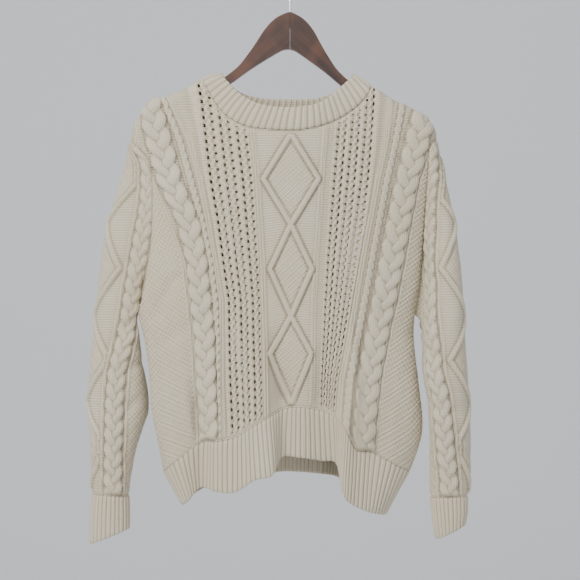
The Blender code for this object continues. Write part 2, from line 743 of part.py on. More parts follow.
def build_arm(name, sign, wood, cutter, collection):
    """One arm of the hanger: a flat outline with rounded edges, cut square at the middle joint."""
    top = dense_curve(ARM_TOP, 3)
    bottom = dense_curve(ARM_BOTTOM, 3)
    outline = np.vstack([top, ARM_TIP, bottom])
    outline = outline[:: int(sign)] * (sign, -1.0)
    curve = bpy.data.curves.new(name, "CURVE")
    curve.dimensions = "2D"
    curve.fill_mode = "BOTH"
    curve.extrude = HANGER_THICKNESS / 2
    spline = curve.splines.new("POLY")
    spline.points.add(len(outline) - 1)
    for point, (x, z) in zip(spline.points, outline):
        point.co = (x, z, 0.0, 1.0)
    spline.use_cyclic_u = True
    flat = bpy.data.objects.new(name, curve)
    collection.objects.link(flat)
    flat.location = (0.0, 0.0, HANGER_PEAK)
    flat.rotation_euler = (math.pi / 2, HANGER_TILT, 0.0)
    arm = as_mesh(flat, collection)
    arm.data.materials.clear()
    arm.data.materials.append(wood)

    bevel = arm.modifiers.new("rounded edges", "BEVEL")
    bevel.width = HANGER_EDGE
    bevel.segments = 2
    bevel.limit_method = "ANGLE"
    bevel.angle_limit = math.radians(50)

    bpy.ops.mesh.primitive_cube_add(size=0.2, location=(-sign * (0.1 - JOINT_GAP), 0, HANGER_PEAK))
    half = bpy.context.object
    half.name = name + "_joint_cutter"
    half.display_type = "WIRE"
    half.hide_render = True
    for old in list(half.users_collection):
        old.objects.unlink(half)
    cutter.users_collection[0].objects.link(half)
    for title, tool in (("square joint", half), ("stem bore", cutter)):
        cut = arm.modifiers.new(title, "BOOLEAN")
        cut.operation = "DIFFERENCE"
        cut.solver = "MANIFOLD"
        cut.object = tool
    arm.data.shade_smooth()
    arm.data.set_sharp_from_angle(angle=math.radians(40))


def hook_route():
    """The wire's middle line: up the stem, out to the right and over the crown, to a tip on the left."""
    radius = HOOK_RADIUS + WIRE_RADIUS
    centre = -HOOK_RADIUS
    start, end = math.radians(-52), math.radians(208)
    points = [(0.0, STEM_FOOT), (0.0, -0.080), (0.0, -0.066), (0.0, -0.054)]
    points += [(0.0012, -0.047), (0.0052, -0.0405)]
    for angle in np.linspace(start, end, 22):
        points.append((radius * math.cos(angle), centre + radius * math.sin(angle)))
    return np.array(points)


def build_hook(steel, collection):
    curve = bpy.data.curves.new("hanger_hook", "CURVE")
    curve.dimensions = "3D"
    curve.bevel_depth = WIRE_RADIUS
    curve.bevel_resolution = 2
    curve.use_fill_caps = True
    route = hook_route()
    spline = curve.splines.new("POLY")
    spline.points.add(len(route) - 1)
    for point, (x, z) in zip(spline.points, route):
        point.co = (x, 0.0, z, 1.0)
    curve.materials.append(steel)
    hook = bpy.data.objects.new("hanger_hook", curve)
    collection.objects.link(hook)


def build_hanger(collection):
    wood = make_material("dark_wood", (0.09, 0.045, 0.028), 0.35)
    steel = make_material("satin_steel", (0.62, 0.62, 0.63), 0.3, 1.0)
    cutters = make_collection("cutters")
    cutter = build_bore_cutter(cutters)
    build_arm("hanger_arm_left", -1.0, wood, cutter, collection)
    build_arm("hanger_arm_right", 1.0, wood, cutter, collection)
    build_hook(steel, collection)


clear_scene()
parts = make_collection("cable_knit_sweater_on_hanger")
build_garment(parts)
build_hanger(parts)
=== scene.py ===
"""The look of a cable knit sweater hanging on a wooden hanger.

Every knitted piece is a thin shell on its solid's own form: the same seams, sections and folds, read densely,
with the cables, braids, diamonds, openwork and ribs raised on it. The columns of points follow the wales, so
that the stripes and the holes between them keep clean edges. Metres, +Z up; the front faces -Y.
"""

import math

import bpy
import numpy as np
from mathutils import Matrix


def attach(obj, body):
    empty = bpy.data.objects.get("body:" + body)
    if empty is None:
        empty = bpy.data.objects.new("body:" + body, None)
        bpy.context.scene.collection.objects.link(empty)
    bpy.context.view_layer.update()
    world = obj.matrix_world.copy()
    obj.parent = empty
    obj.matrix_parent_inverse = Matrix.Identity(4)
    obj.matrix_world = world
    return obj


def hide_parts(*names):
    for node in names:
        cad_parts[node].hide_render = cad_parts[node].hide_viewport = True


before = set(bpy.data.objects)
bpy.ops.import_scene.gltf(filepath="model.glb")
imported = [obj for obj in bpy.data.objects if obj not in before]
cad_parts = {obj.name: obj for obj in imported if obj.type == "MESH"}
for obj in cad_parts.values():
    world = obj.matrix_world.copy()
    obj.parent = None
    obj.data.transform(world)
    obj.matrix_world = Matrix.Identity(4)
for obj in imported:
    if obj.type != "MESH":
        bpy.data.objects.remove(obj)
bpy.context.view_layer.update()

# Form, the same sizes as the solids.
RIDGE_RADIUS = 0.0115  # bend of the cloth over the hanger's top edge
SIDE_POWER = 4.0  # how square the body's side folds are, seen from above
SLEEVE_POWER = 2.3  # how square a sleeve's section is

# Seams of the body, each a smooth curve through its rows from the shoulder down.
# x, y, z
ARMHOLE_FRONT_LEFT = (
    (-0.233, 0.000, -0.256),
    (-0.225, -0.009, -0.265),
    (-0.216, -0.012, -0.273),
    (-0.207, -0.014, -0.286),
    (-0.201, -0.015, -0.312),
    (-0.200, -0.014, -0.347),
    (-0.202, -0.010, -0.396),
    (-0.206, -0.004, -0.438),
    (-0.215, 0.004, -0.479),
    (-0.223, 0.010, -0.511),
)
ARMHOLE_BACK_LEFT = (
    (-0.233, 0.000, -0.256),
    (-0.228, 0.009, -0.264),
    (-0.220, 0.013, -0.276),
    (-0.213, 0.017, -0.300),
    (-0.210, 0.020, -0.345),
    (-0.211, 0.021, -0.396),
    (-0.213, 0.019, -0.438),
    (-0.218, 0.016, -0.479),
    (-0.223, 0.010, -0.511),
)
ARMHOLE_FRONT_RIGHT = (
    (0.215, 0.000, -0.256),
    (0.207, -0.009, -0.261),
    (0.202, -0.012, -0.273),
    (0.202, -0.010, -0.298),
    (0.200, -0.006, -0.331),
    (0.197, -0.002, -0.376),
    (0.194, 0.001, -0.419),
    (0.190, 0.003, -0.470),
    (0.183, 0.004, -0.514),
)
ARMHOLE_BACK_RIGHT = (
    (0.215, 0.000, -0.256),
    (0.209, 0.009, -0.263),
    (0.203, 0.014, -0.276),
    (0.197, 0.018, -0.300),
    (0.194, 0.020, -0.345),
    (0.193, 0.020, -0.396),
    (0.191, 0.018, -0.438),
    (0.187, 0.012, -0.480),
    (0.183, 0.004, -0.514),
)
SIDE_LEFT = (
    (-0.223, 0.010, -0.511),
    (-0.220, 0.008, -0.528),
    (-0.212, 0.006, -0.560),
    (-0.206, 0.004, -0.611),
    (-0.203, 0.002, -0.656),
    (-0.193, 0.001, -0.704),
    (-0.186, 0.000, -0.744),
)
SIDE_RIGHT = (
    (0.183, 0.004, -0.514),
    (0.182, 0.006, -0.551),
    (0.189, 0.008, -0.612),
    (0.195, 0.008, -0.672),
    (0.190, 0.006, -0.705),
    (0.177, 0.004, -0.741),
)
HEM_SIDE_LEFT = (
    (-0.186, 0.000, -0.744),
    (-0.173, -0.001, -0.768),
    (-0.159, -0.002, -0.791),
)
HEM_SIDE_RIGHT = (
    (0.177, 0.004, -0.741),
    (0.156, 0.002, -0.769),
    (0.142, 0.000, -0.801),
)

# The shoulder line and the neckline of each panel, from the shoulder point inwards.
# x, z
SHOULDER_LEFT = (
    (-0.233, -0.256),
    (-0.229, -0.235),
    (-0.219, -0.220),
    (-0.211, -0.208),
    (-0.203, -0.200),
    (-0.184, -0.195),
    (-0.156, -0.183),
    (-0.138, -0.174),
    (-0.129, -0.167),
)
SHOULDER_RIGHT = (
    (0.215, -0.256),
    (0.213, -0.243),
    (0.207, -0.232),
    (0.197, -0.222),
    (0.183, -0.213),
    (0.169, -0.206),
    (0.152, -0.199),
    (0.138, -0.189),
    (0.120, -0.179),
)
NECK_BASE_FRONT = (
    (-0.129, -0.167),
    (-0.120, -0.185),
    (-0.110, -0.203),
    (-0.096, -0.221),
    (-0.075, -0.235),
    (-0.049, -0.243),
    (0.000, -0.246),
    (0.025, -0.244),
    (0.052, -0.237),
    (0.074, -0.227),
    (0.093, -0.214),
    (0.110, -0.197),
    (0.120, -0.179),
)
NECK_BASE_BACK = (
    (-0.129, -0.167),
    (-0.119, -0.186),
    (-0.100, -0.205),
    (-0.075, -0.219),
    (-0.042, -0.228),
    (0.000, -0.231),
    (0.040, -0.229),
    (0.072, -0.221),
    (0.096, -0.208),
    (0.112, -0.193),
    (0.120, -0.179),
)

# The neckband's top edge.
# x, y, z
NECK_TOP_FRONT = (
    (-0.100, 0.000, -0.160),
    (-0.098, -0.0105, -0.166),
    (-0.091, -0.016, -0.174),
    (-0.080, -0.021, -0.186),
    (-0.065, -0.026, -0.198),
    (-0.047, -0.030, -0.207),
    (-0.025, -0.033, -0.212),
    (0.005, -0.034, -0.213),
    (0.032, -0.033, -0.210),
    (0.052, -0.029, -0.201),
    (0.069, -0.022, -0.187),
    (0.082, -0.016, -0.175),
    (0.091, -0.0105, -0.166),
    (0.093, 0.000, -0.160),
)
NECK_TOP_BACK = (
    (-0.100, 0.000, -0.160),
    (-0.098, 0.0105, -0.166),
    (-0.090, 0.0145, -0.174),
    (-0.073, 0.018, -0.187),
    (-0.048, 0.021, -0.194),
    (-0.018, 0.023, -0.196),
    (0.028, 0.023, -0.196),
    (0.053, 0.020, -0.192),
    (0.073, 0.016, -0.183),
    (0.085, 0.0145, -0.174),
    (0.091, 0.0105, -0.166),
    (0.093, 0.000, -0.160),
)

# The body's lower folds, a row for each crest, trough or side turn, across the panel. Each is where the
# fold crosses the top of the hem rib and the rib's free edge. Depth is forward of the side seams (backward
# on the back), and rise is the share of the panel's height that the fold reaches up.
# rib_x, rib_z, rib_depth, hem_x, hem_z, hem_depth, rise
FRONT_FOLDS = (
    (-0.186, -0.744, 0.000, -0.159, -0.791, 0.002, 0.10),
    (-0.180, -0.738, 0.015, -0.155, -0.789, 0.017, 0.10),
    (-0.162, -0.723, 0.026, -0.145, -0.780, 0.027, 0.20),
    (-0.128, -0.699, 0.023, -0.129, -0.764, 0.020, 0.42),
    (-0.106, -0.696, 0.041, -0.106, -0.768, 0.043, 0.36),
    (-0.079, -0.690, 0.042, -0.079, -0.768, 0.047, 0.30),
    (-0.055, -0.675, 0.047, -0.051, -0.750, 0.056, 0.34),
    (-0.032, -0.662, 0.044, -0.025, -0.743, 0.056, 0.30),
    (-0.009, -0.650, 0.026, -0.012, -0.720, 0.024, 0.36),
    (0.015, -0.647, 0.035, 0.015, -0.720, 0.030, 0.28),
    (0.043, -0.652, 0.030, 0.046, -0.725, 0.024, 0.30),
    (0.064, -0.661, 0.036, 0.067, -0.729, 0.032, 0.30),
    (0.081, -0.682, 0.057, 0.076, -0.769, 0.066, 0.40),
    (0.096, -0.708, 0.051, 0.091, -0.785, 0.061, 0.32),
    (0.117, -0.711, 0.040, 0.110, -0.795, 0.050, 0.34),
    (0.148, -0.728, 0.031, 0.128, -0.801, 0.036, 0.16),
    (0.170, -0.740, 0.014, 0.139, -0.804, 0.018, 0.10),
    (0.177, -0.741, -0.004, 0.142, -0.801, 0.000, 0.10),
)
BACK_FOLDS = (
    (-0.186, -0.744, 0.000, -0.159, -0.791, -0.002, 0.10),
    (-0.178, -0.734, 0.017, -0.153, -0.786, 0.016, 0.10),
    (-0.155, -0.713, 0.032, -0.140, -0.777, 0.033, 0.24),
    (-0.126, -0.697, 0.048, -0.118, -0.767, 0.055, 0.36),
    (-0.098, -0.688, 0.037, -0.096, -0.760, 0.036, 0.30),
    (-0.072, -0.682, 0.026, -0.074, -0.755, 0.021, 0.42),
    (-0.042, -0.679, 0.041, -0.044, -0.752, 0.044, 0.30),
    (-0.012, -0.675, 0.047, -0.012, -0.748, 0.053, 0.34),
    (0.018, -0.675, 0.036, 0.016, -0.747, 0.036, 0.28),
    (0.046, -0.677, 0.025, 0.044, -0.748, 0.019, 0.40),
    (0.072, -0.684, 0.040, 0.068, -0.754, 0.042, 0.32),
    (0.098, -0.696, 0.050, 0.092, -0.768, 0.058, 0.36),
    (0.124, -0.709, 0.038, 0.113, -0.783, 0.042, 0.26),
    (0.148, -0.722, 0.030, 0.129, -0.795, 0.030, 0.18),
    (0.169, -0.735, 0.018, 0.138, -0.802, 0.016, 0.10),
    (0.177, -0.741, 0.004, 0.142, -0.801, 0.000, 0.10),
)

# How far the plain cloth stands off the side seams' plane, down the body.
# z, front, back
DEPTHS = (
    (-0.160, 0.0118, 0.0118),
    (-0.215, 0.0128, 0.0128),
    (-0.260, 0.0175, 0.0170),
    (-0.350, 0.0270, 0.0250),
    (-0.450, 0.0340, 0.0310),
    (-0.550, 0.0375, 0.0350),
    (-0.650, 0.0400, 0.0380),
    (-0.750, 0.0420, 0.0400),
)
# The neckline stands off further in the middle.
# extra depth, its reach across, its reach down, height of its middle
NECK_BULGE_FRONT = (0.0195, 0.120, 0.110, -0.246)
NECK_BULGE_BACK = (0.0110, 0.110, 0.090, -0.231)

# Sections of each sleeve below the armhole, from its outer edge to its inner edge.
# outer_x, outer_z, inner_x, inner_z, y, half_depth
SLEEVE_LEFT = (
    (-0.241, -0.283, -0.229, -0.520, 0.013, 0.016),
    (-0.246, -0.303, -0.229, -0.535, 0.018, 0.018),
    (-0.254, -0.328, -0.226, -0.554, 0.022, 0.021),
    (-0.264, -0.361, -0.222, -0.574, 0.026, 0.025),
    (-0.274, -0.401, -0.218, -0.593, 0.029, 0.028),
    (-0.281, -0.446, -0.214, -0.612, 0.031, 0.030),
    (-0.286, -0.492, -0.211, -0.630, 0.032, 0.031),
    (-0.290, -0.533, -0.210, -0.647, 0.032, 0.032),
    (-0.294, -0.567, -0.211, -0.661, 0.031, 0.032),
    (-0.297, -0.603, -0.216, -0.675, 0.029, 0.031),
    (-0.298, -0.636, -0.222, -0.693, 0.027, 0.030),
    (-0.297, -0.668, -0.228, -0.713, 0.024, 0.029),
    (-0.295, -0.703, -0.232, -0.735, 0.021, 0.028),
    (-0.293, -0.740, -0.236, -0.757, 0.018, 0.026),
    (-0.291, -0.777, -0.238, -0.780, 0.016, 0.025),
)
SLEEVE_RIGHT = (
    (0.220, -0.282, 0.190, -0.521, 0.003, 0.016),
    (0.225, -0.304, 0.193, -0.535, 0.000, 0.020),
    (0.231, -0.332, 0.194, -0.552, -0.003, 0.024),
    (0.238, -0.367, 0.195, -0.570, -0.006, 0.027),
    (0.245, -0.408, 0.194, -0.590, -0.008, 0.029),
    (0.249, -0.446, 0.196, -0.609, -0.009, 0.030),
    (0.252, -0.486, 0.199, -0.627, -0.010, 0.031),
    (0.254, -0.526, 0.202, -0.644, -0.010, 0.031),
    (0.256, -0.564, 0.203, -0.661, -0.010, 0.030),
    (0.259, -0.603, 0.204, -0.678, -0.009, 0.029),
    (0.261, -0.638, 0.205, -0.696, -0.007, 0.028),
    (0.263, -0.671, 0.205, -0.715, -0.005, 0.027),
    (0.264, -0.706, 0.205, -0.736, -0.003, 0.026),
    (0.264, -0.743, 0.205, -0.757, -0.001, 0.025),
    (0.260, -0.778, 0.206, -0.780, 0.000, 0.024),
)
CUFF_LEFT = (
    (-0.294, -0.814, -0.237, -0.804, 0.015, 0.025),
    (-0.295, -0.850, -0.237, -0.828, 0.014, 0.024),
)
CUFF_RIGHT = (
    (0.260, -0.800, 0.209, -0.811, 0.000, 0.024),
    (0.257, -0.820, 0.213, -0.841, 0.000, 0.023),
)
# How much of the armhole seam's own bow each of the first sections keeps.
BOW_KEPT = (0.72, 0.48, 0.29, 0.15, 0.06)

# Drop below the shoulder point of each row of points along the armhole, and rows down each other piece.
ARMHOLE_DROPS = (
    0.0, 0.003, 0.008, 0.016, 0.030, 0.052, 0.080, 0.112, 0.146, 0.180, 0.212, 0.238, 0.255,
)
SIDE_ROWS = 8
SHOULDER_COLUMNS = 6
NECK_SHARES = (
    0.0, 0.025, 0.06, 0.11, 0.18, 0.26, 0.35, 0.45, 0.55, 0.65, 0.74, 0.82, 0.89, 0.94, 0.975, 1.0,
)
NECK_COLUMNS = len(NECK_SHARES) - 1
NECK_ROW_DROP = 0.012  # extra drop of the first row under the neckline, as a share of the panel's height
NECK_ROW_FADE = 0.15  # and how far down that extra drop fades out
SIDE_FALL = 7.0  # how much faster the armhole's own shape dies away inwards at the shoulder than at the hem
FIRST_NECK_FOLD = 4 / 17  # share of the panel's width that lies under each shoulder


# Stripes of the knitting, as distances from the body's middle at a few heights. From the middle out: the
# double line beside the diamonds, where the openwork starts and ends, the double line beside the cables, the
# middle of the big braid, and the double line where the moss stitch starts.
# z, line, open_from, open_to, cable_line, braid, moss_line
MIDDLE_X = 0.0015
STRIPES_LEFT = (
    (-0.173, 0.064, 0.067, 0.142, 0.190, 0.213, 0.242),
    (-0.202, 0.061, 0.065, 0.136, 0.176, 0.207, 0.236),
    (-0.260, 0.055, 0.059, 0.129, 0.148, 0.193, 0.225),
    (-0.318, 0.048, 0.052, 0.122, 0.132, 0.177, 0.203),
    (-0.376, 0.045, 0.049, 0.111, 0.121, 0.150, 0.179),
    (-0.434, 0.041, 0.045, 0.103, 0.110, 0.137, 0.157),
    (-0.492, 0.039, 0.042, 0.094, 0.101, 0.131, 0.149),
    (-0.550, 0.037, 0.041, 0.093, 0.100, 0.125, 0.143),
    (-0.608, 0.036, 0.039, 0.092, 0.100, 0.123, 0.139),
    (-0.666, 0.035, 0.038, 0.089, 0.099, 0.120, 0.135),
    (-0.750, 0.033, 0.037, 0.087, 0.098, 0.118, 0.132),
)
STRIPES_RIGHT = (
    (-0.173, 0.055, 0.070, 0.126, 0.149, 0.210, 0.238),
    (-0.202, 0.053, 0.068, 0.125, 0.146, 0.202, 0.228),
    (-0.260, 0.049, 0.063, 0.121, 0.139, 0.184, 0.207),
    (-0.318, 0.044, 0.058, 0.116, 0.126, 0.169, 0.188),
    (-0.376, 0.040, 0.054, 0.108, 0.115, 0.157, 0.176),
    (-0.434, 0.036, 0.050, 0.098, 0.104, 0.146, 0.166),
    (-0.492, 0.033, 0.047, 0.088, 0.094, 0.135, 0.155),
    (-0.550, 0.032, 0.045, 0.078, 0.084, 0.123, 0.142),
    (-0.608, 0.031, 0.043, 0.067, 0.073, 0.112, 0.131),
    (-0.666, 0.030, 0.042, 0.062, 0.068, 0.106, 0.123),
    (-0.750, 0.030, 0.042, 0.060, 0.066, 0.103, 0.118),
)
# The pattern coordinate of each stripe, 0 in the middle, and the columns of points up to each one.
STRIPE_AT = (0.0, 1.0, 1.2, 1.9, 2.0, 2.6, 3.0)
STRIPE_COLUMNS = (28, 6, 36, 6, 28, 20)
OUTSIDE_UNIT = 0.050  # past the last stripe, the cloth that counts as one more
OUTSIDE_COLUMNS = 52
OUTSIDE_STEP = 0.0017
COURSE = 0.0016  # rows of points, up the cloth
CLOTH_HEIGHT = 0.42  # from the hem rib to the height below, along the cloth
CLOTH_TOP = -0.250

OPEN_CORDS = 6  # columns of holes in each openwork stripe
HOLE_PITCH = 0.0112
HOLE_HALF = (0.15, 0.0021)  # share of a column, height

# The ropes that make the middle's diamonds: half the width between them at each tip and corner.
# z, half_width
DIAMONDS = (
    (-0.6440, 0.0), (-0.5700, 0.0297), (-0.5152, 0.0), (-0.4470, 0.0305), (-0.3825, 0.0),
    (-0.3165, 0.0400), (-0.2520, 0.0),
)

# Creases in the cloth besides the big folds, from one end to the other. Depth is negative for a trough.
# x1, z1, x2, z2, half_width, depth
FRONT_CREASES = (
    (-0.137, -0.640, -0.121, -0.735, 0.0050, -0.0050),
    (-0.150, -0.600, -0.137, -0.700, 0.0090, 0.0030),
    (-0.160, -0.455, -0.196, -0.515, 0.0100, -0.0035),
    (-0.125, -0.520, -0.188, -0.560, 0.0120, -0.0025),
    (0.128, -0.505, 0.176, -0.545, 0.0110, -0.0035),
    (0.100, -0.560, 0.172, -0.610, 0.0130, -0.0020),
    (0.150, -0.250, 0.192, -0.330, 0.0120, -0.0022),
    (-0.205, -0.225, -0.176, -0.300, 0.0090, -0.0025),
    (-0.020, -0.540, -0.004, -0.650, 0.0110, -0.0040),
    (0.052, -0.560, 0.058, -0.660, 0.0100, -0.0030),
    (-0.075, -0.600, -0.066, -0.690, 0.0080, -0.0025),
    (0.105, -0.620, 0.104, -0.710, 0.0070, -0.0025),
)
BACK_CREASES = (
    (0.150, -0.470, 0.190, -0.520, 0.0110, -0.0035),
    (-0.150, -0.480, -0.200, -0.530, 0.0110, -0.0030),
    (0.098, -0.250, 0.160, -0.330, 0.0150, -0.0025),
    (-0.110, -0.240, -0.170, -0.340, 0.0150, -0.0025),
    (-0.030, -0.560, -0.020, -0.670, 0.0100, -0.0035),
    (0.060, -0.580, 0.056, -0.690, 0.0090, -0.0030),
    (0.118, -0.600, 0.126, -0.700, 0.0080, -0.0025),
    (-0.120, -0.580, -0.112, -0.690, 0.0080, -0.0030),
)

# The braid down each sleeve, by where its middle shows from the front.
# z, x
BRAID_LEFT = (
    (-0.330, -0.206), (-0.360, -0.209), (-0.402, -0.2165), (-0.460, -0.227), (-0.520, -0.236),
    (-0.556, -0.244), (-0.600, -0.254), (-0.645, -0.2575), (-0.750, -0.259), (-0.790, -0.259),
)
BRAID_RIGHT = (
    (-0.380, 0.204), (-0.456, 0.2035), (-0.530, 0.2035), (-0.595, 0.2075), (-0.628, 0.2165),
    (-0.662, 0.2205), (-0.768, 0.2320), (-0.790, 0.2330),
)
# The diamonds down the outside of each sleeve, to the front and to the rear of its middle line.
# z, half_width
SLEEVE_DIAMONDS = (
    (-0.795, 0.020), (-0.768, 0.0), (-0.705, 0.040), (-0.642, 0.0), (-0.579, 0.043), (-0.514, 0.0),
    (-0.446, 0.045), (-0.378, 0.0), (-0.315, 0.040), (-0.262, 0.012),
)
SLEEVE_STEP = 0.0017
# x1, z1, x2, z2, half_width, depth
LEFT_SLEEVE_CREASES = (
    (-0.222, -0.520, -0.262, -0.560, 0.0090, -0.0040),
    (-0.216, -0.585, -0.250, -0.600, 0.0080, -0.0030),
    (-0.235, -0.430, -0.262, -0.480, 0.0110, -0.0030),
    (-0.250, -0.700, -0.232, -0.730, 0.0070, -0.0025),
    (-0.285, -0.735, -0.262, -0.752, 0.0060, -0.0025),
    (-0.225, -0.640, -0.246, -0.668, 0.0070, -0.0025),
)
RIGHT_SLEEVE_CREASES = (
    (0.200, -0.560, 0.232, -0.590, 0.0090, -0.0040),
    (0.205, -0.640, 0.240, -0.655, 0.0080, -0.0030),
    (0.208, -0.460, 0.236, -0.500, 0.0110, -0.0030),
    (0.240, -0.705, 0.258, -0.720, 0.0070, -0.0025),
    (0.212, -0.740, 0.238, -0.752, 0.0060, -0.0025),
    (0.210, -0.380, 0.238, -0.420, 0.0110, -0.0025),
)

GROUND = -0.0004  # the plain knitting, below the solid's face
DIAMOND_LIFT = 0.0004  # the moss inside a diamond, above it
BODY_ROPE = 0.0043  # half the width of the ropes round the diamonds
SLEEVE_ROPE = 0.0040
PLAIT_LIFT = 0.0014  # how far a strand rises where it passes over the others
PLAIT_THICK = 0.0034
BODY_PLAIT_HALF = 0.0104  # half a plait's width, and what it gains with the width of its stripe
BODY_PLAIT_GROW = 0.120
SLEEVE_PLAIT_HALF = 0.0135
BODY_PLAIT_REPEAT = 0.075
SLEEVE_PLAIT_REPEAT = 0.066
EDGE_FADE = 0.007  # the raised knitting dies away this close to a seam
CREASE_FADE = 0.02
LIP_PAINTED_SHADE = 0.3  # painted shade at a rib's free edge, against that in its grooves

HEM_RIBS = 64  # ribs across each half of the hem
CUFF_RIBS = 26
NECK_RIBS = 60
RIB_CLOTH = 0.0022  # thickness of the ribbed cloth between its ridges


def dense_curve(rows, steps=16):
    """A Catmull-Rom curve through the rows, as many close points."""
    points = np.array(rows, float)
    first = 2 * points[0] - points[1]
    last = 2 * points[-1] - points[-2]
    padded = np.vstack([first, points, last])
    u = np.linspace(0.0, 1.0, steps, endpoint=False)[:, None]
    pieces = []
    for i in range(1, len(padded) - 2):
        before, start, end, after = padded[i - 1 : i + 3]
        slope = end - before
        bend = 2 * before - 5 * start + 4 * end - after
        twist = 3 * start - before - 3 * end + after
        pieces.append(start + 0.5 * u * (slope + u * (bend + u * twist)))
    return np.vstack(pieces + [points[-1:]])


def along(rows, shares):
    """Points at these shares of the length of the smooth curve through the rows."""
    dense = dense_curve(rows)
    steps = np.linalg.norm(np.diff(dense, axis=0), axis=1)
    length = np.concatenate([[0.0], np.cumsum(steps)])
    wanted = np.asarray(shares) * length[-1]
    return np.stack([np.interp(wanted, length, axis) for axis in dense.T], axis=1)


def by_row(rows, places):
    """The smooth curve through the rows, read at these places, where row k of n sits at k / (n - 1)."""
    dense = dense_curve(rows)
    grid = np.linspace(0.0, 1.0, len(dense))
    return np.stack([np.interp(places, grid, axis) for axis in dense.T], axis=1)


def share_rows(values):
    return [(value,) for value in values]


def seam_edge(armhole, side, rows):
    """One side of a panel at these rows, from the hem rib at 0 up to the shoulder point."""
    drops = np.array(ARMHOLE_DROPS) / ARMHOLE_DROPS[-1]
    lower = along(side, np.clip(1 - rows / SIDE_ROWS, 0.0, 1.0))
    upper = along(armhole, np.interp(rows - SIDE_ROWS, np.arange(len(drops)), drops[::-1]))
    return np.where((rows < SIDE_ROWS)[:, None], lower, upper)


def panel_surface(side, armholes, neck_base, folds, depth_column, bulge):
    """The outer face of the front (side -1) or back (side 1), read densely: points by row and column."""
    rows = np.linspace(0, SIDE_ROWS + len(ARMHOLE_DROPS) - 1, 461)
    last = 2 * SHOULDER_COLUMNS + NECK_COLUMNS
    columns = np.linspace(0, last, 541)
    left = seam_edge(armholes[0], SIDE_LEFT, rows)
    right = seam_edge(armholes[1], SIDE_RIGHT, rows)
    from_left = columns / SHOULDER_COLUMNS
    from_right = (last - columns) / SHOULDER_COLUMNS
    neck_share = by_row(share_rows(NECK_SHARES), np.clip((columns - SHOULDER_COLUMNS) / NECK_COLUMNS, 0, 1))
    neck_share = neck_share[:, 0]
    top = along(neck_base, neck_share)
    top = np.where((from_left < 1)[:, None], along(SHOULDER_LEFT, np.clip(from_left, 0, 1)), top)
    top = np.where((from_right < 1)[:, None], along(SHOULDER_RIGHT, np.clip(from_right, 0, 1)), top)
    turns = (0, SHOULDER_COLUMNS, last - SHOULDER_COLUMNS, last)
    places = np.interp(columns, turns, (0.0, FIRST_NECK_FOLD, 1 - FIRST_NECK_FOLD, 1.0))
    fold = by_row(folds, places)

    steps = np.concatenate([[0.0], np.cumsum(np.linalg.norm(np.diff(top, axis=0), axis=1))])
    neck_from = np.interp(SHOULDER_COLUMNS, columns, steps)
    neck_to = np.interp(last - SHOULDER_COLUMNS, columns, steps)
    from_ridge = np.clip(np.minimum(steps - neck_from, neck_to - steps), 0.0, None)
    heights = (left[:, 2] - left[0, 2]) / (left[-1, 2] - left[0, 2])
    below = 1 - heights[:, None]
    under_neck = np.clip(from_ridge / RIDGE_RADIUS, 0.0, 1.0)[None, :]
    # The extra drop starts from nothing at the neckline itself, so that no strip there is stretched.
    start = 1 - np.exp(-below / 0.006)
    t = heights[:, None] - NECK_ROW_DROP * start * np.exp(-below / NECK_ROW_FADE) * under_neck
    t[0] = 0.0
    s = places[None, :]
    fall = 1 + SIDE_FALL * heights[:, None] ** 4
    flat = []
    for axis, fold_axis in ((0, 0), (2, 1)):
        bottom, upper = fold[:, fold_axis], top[:, fold_axis]
        points = (1 - t) * bottom[None, :] + t * upper[None, :]
        for edge, end, near in ((left, 0, 1 - s), (right, -1, s)):
            straight = below * bottom[end] + (1 - below) * upper[end]
            points = points + near**fall * (edge[:, axis, None] - straight)
        flat.append(points)
    x, z = flat

    seam_depth = side * ((1 - s) * left[:, 1, None] + s * right[:, 1, None])
    middle = 0.5 * (x[:, :1] + x[:, -1:])
    across = np.clip(np.abs(x - middle) / (0.5 * (x[:, -1:] - x[:, :1])), 0.0, 1.0)
    shape = (1 - across**SIDE_POWER) ** (1 / 2.2)
    table = np.array(DEPTHS)[::-1]
    plain = np.interp(z, table[:, 0], table[:, depth_column])
    extra, reach_x, reach_z, middle_z = bulge
    plain = plain + extra * np.exp(-((x / reach_x) ** 2) - ((z - middle_z) / reach_z) ** 2)
    depth = seam_depth + (plain - seam_depth) * shape
    fade = np.clip(1 - t / fold[None, :, 6], 0.0, 1.0)
    fade = fade**2 * (3 - 2 * fade)
    depth = depth + fade * (fold[None, :, 2] - depth)
    ridge = np.clip((top[None, :, 1] - z) + from_ridge[None, :], 0.0, None)
    inside = np.clip(1 - ridge / RIDGE_RADIUS, 0.0, 1.0)
    depth = depth * np.sqrt(1 - inside**2)
    points = np.stack([x, side * depth, z], axis=2)
    points[:, 0] = left
    points[:, -1] = right
    return points, columns, neck_share


def way_out(points, flip):
    """The outward normal at each point of a dense surface."""
    normal = np.cross(np.gradient(points, axis=1), np.gradient(points, axis=0))
    size = np.linalg.norm(normal, axis=2, keepdims=True)
    return flip * normal / np.maximum(size, 1e-12)


def edge_distance(points):
    """How far each point is from the nearest edge of its surface, along its row or its column."""
    across = np.linalg.norm(np.diff(points, axis=1), axis=2)
    across = np.concatenate([np.zeros((len(points), 1)), np.cumsum(across, axis=1)], axis=1)
    up = np.linalg.norm(np.diff(points, axis=0), axis=2)
    up = np.concatenate([np.zeros((1, points.shape[1])), np.cumsum(up, axis=0)], axis=0)
    return np.minimum.reduce([across, across[:, -1:] - across, up, up[-1:] - up])


def read_between(data, places):
    """Rows of data at fractional places."""
    low = np.clip(np.floor(places).astype(int), 0, len(data) - 2)
    share = (places - low)[:, None]
    return data[low] * (1 - share) + data[low + 1] * share


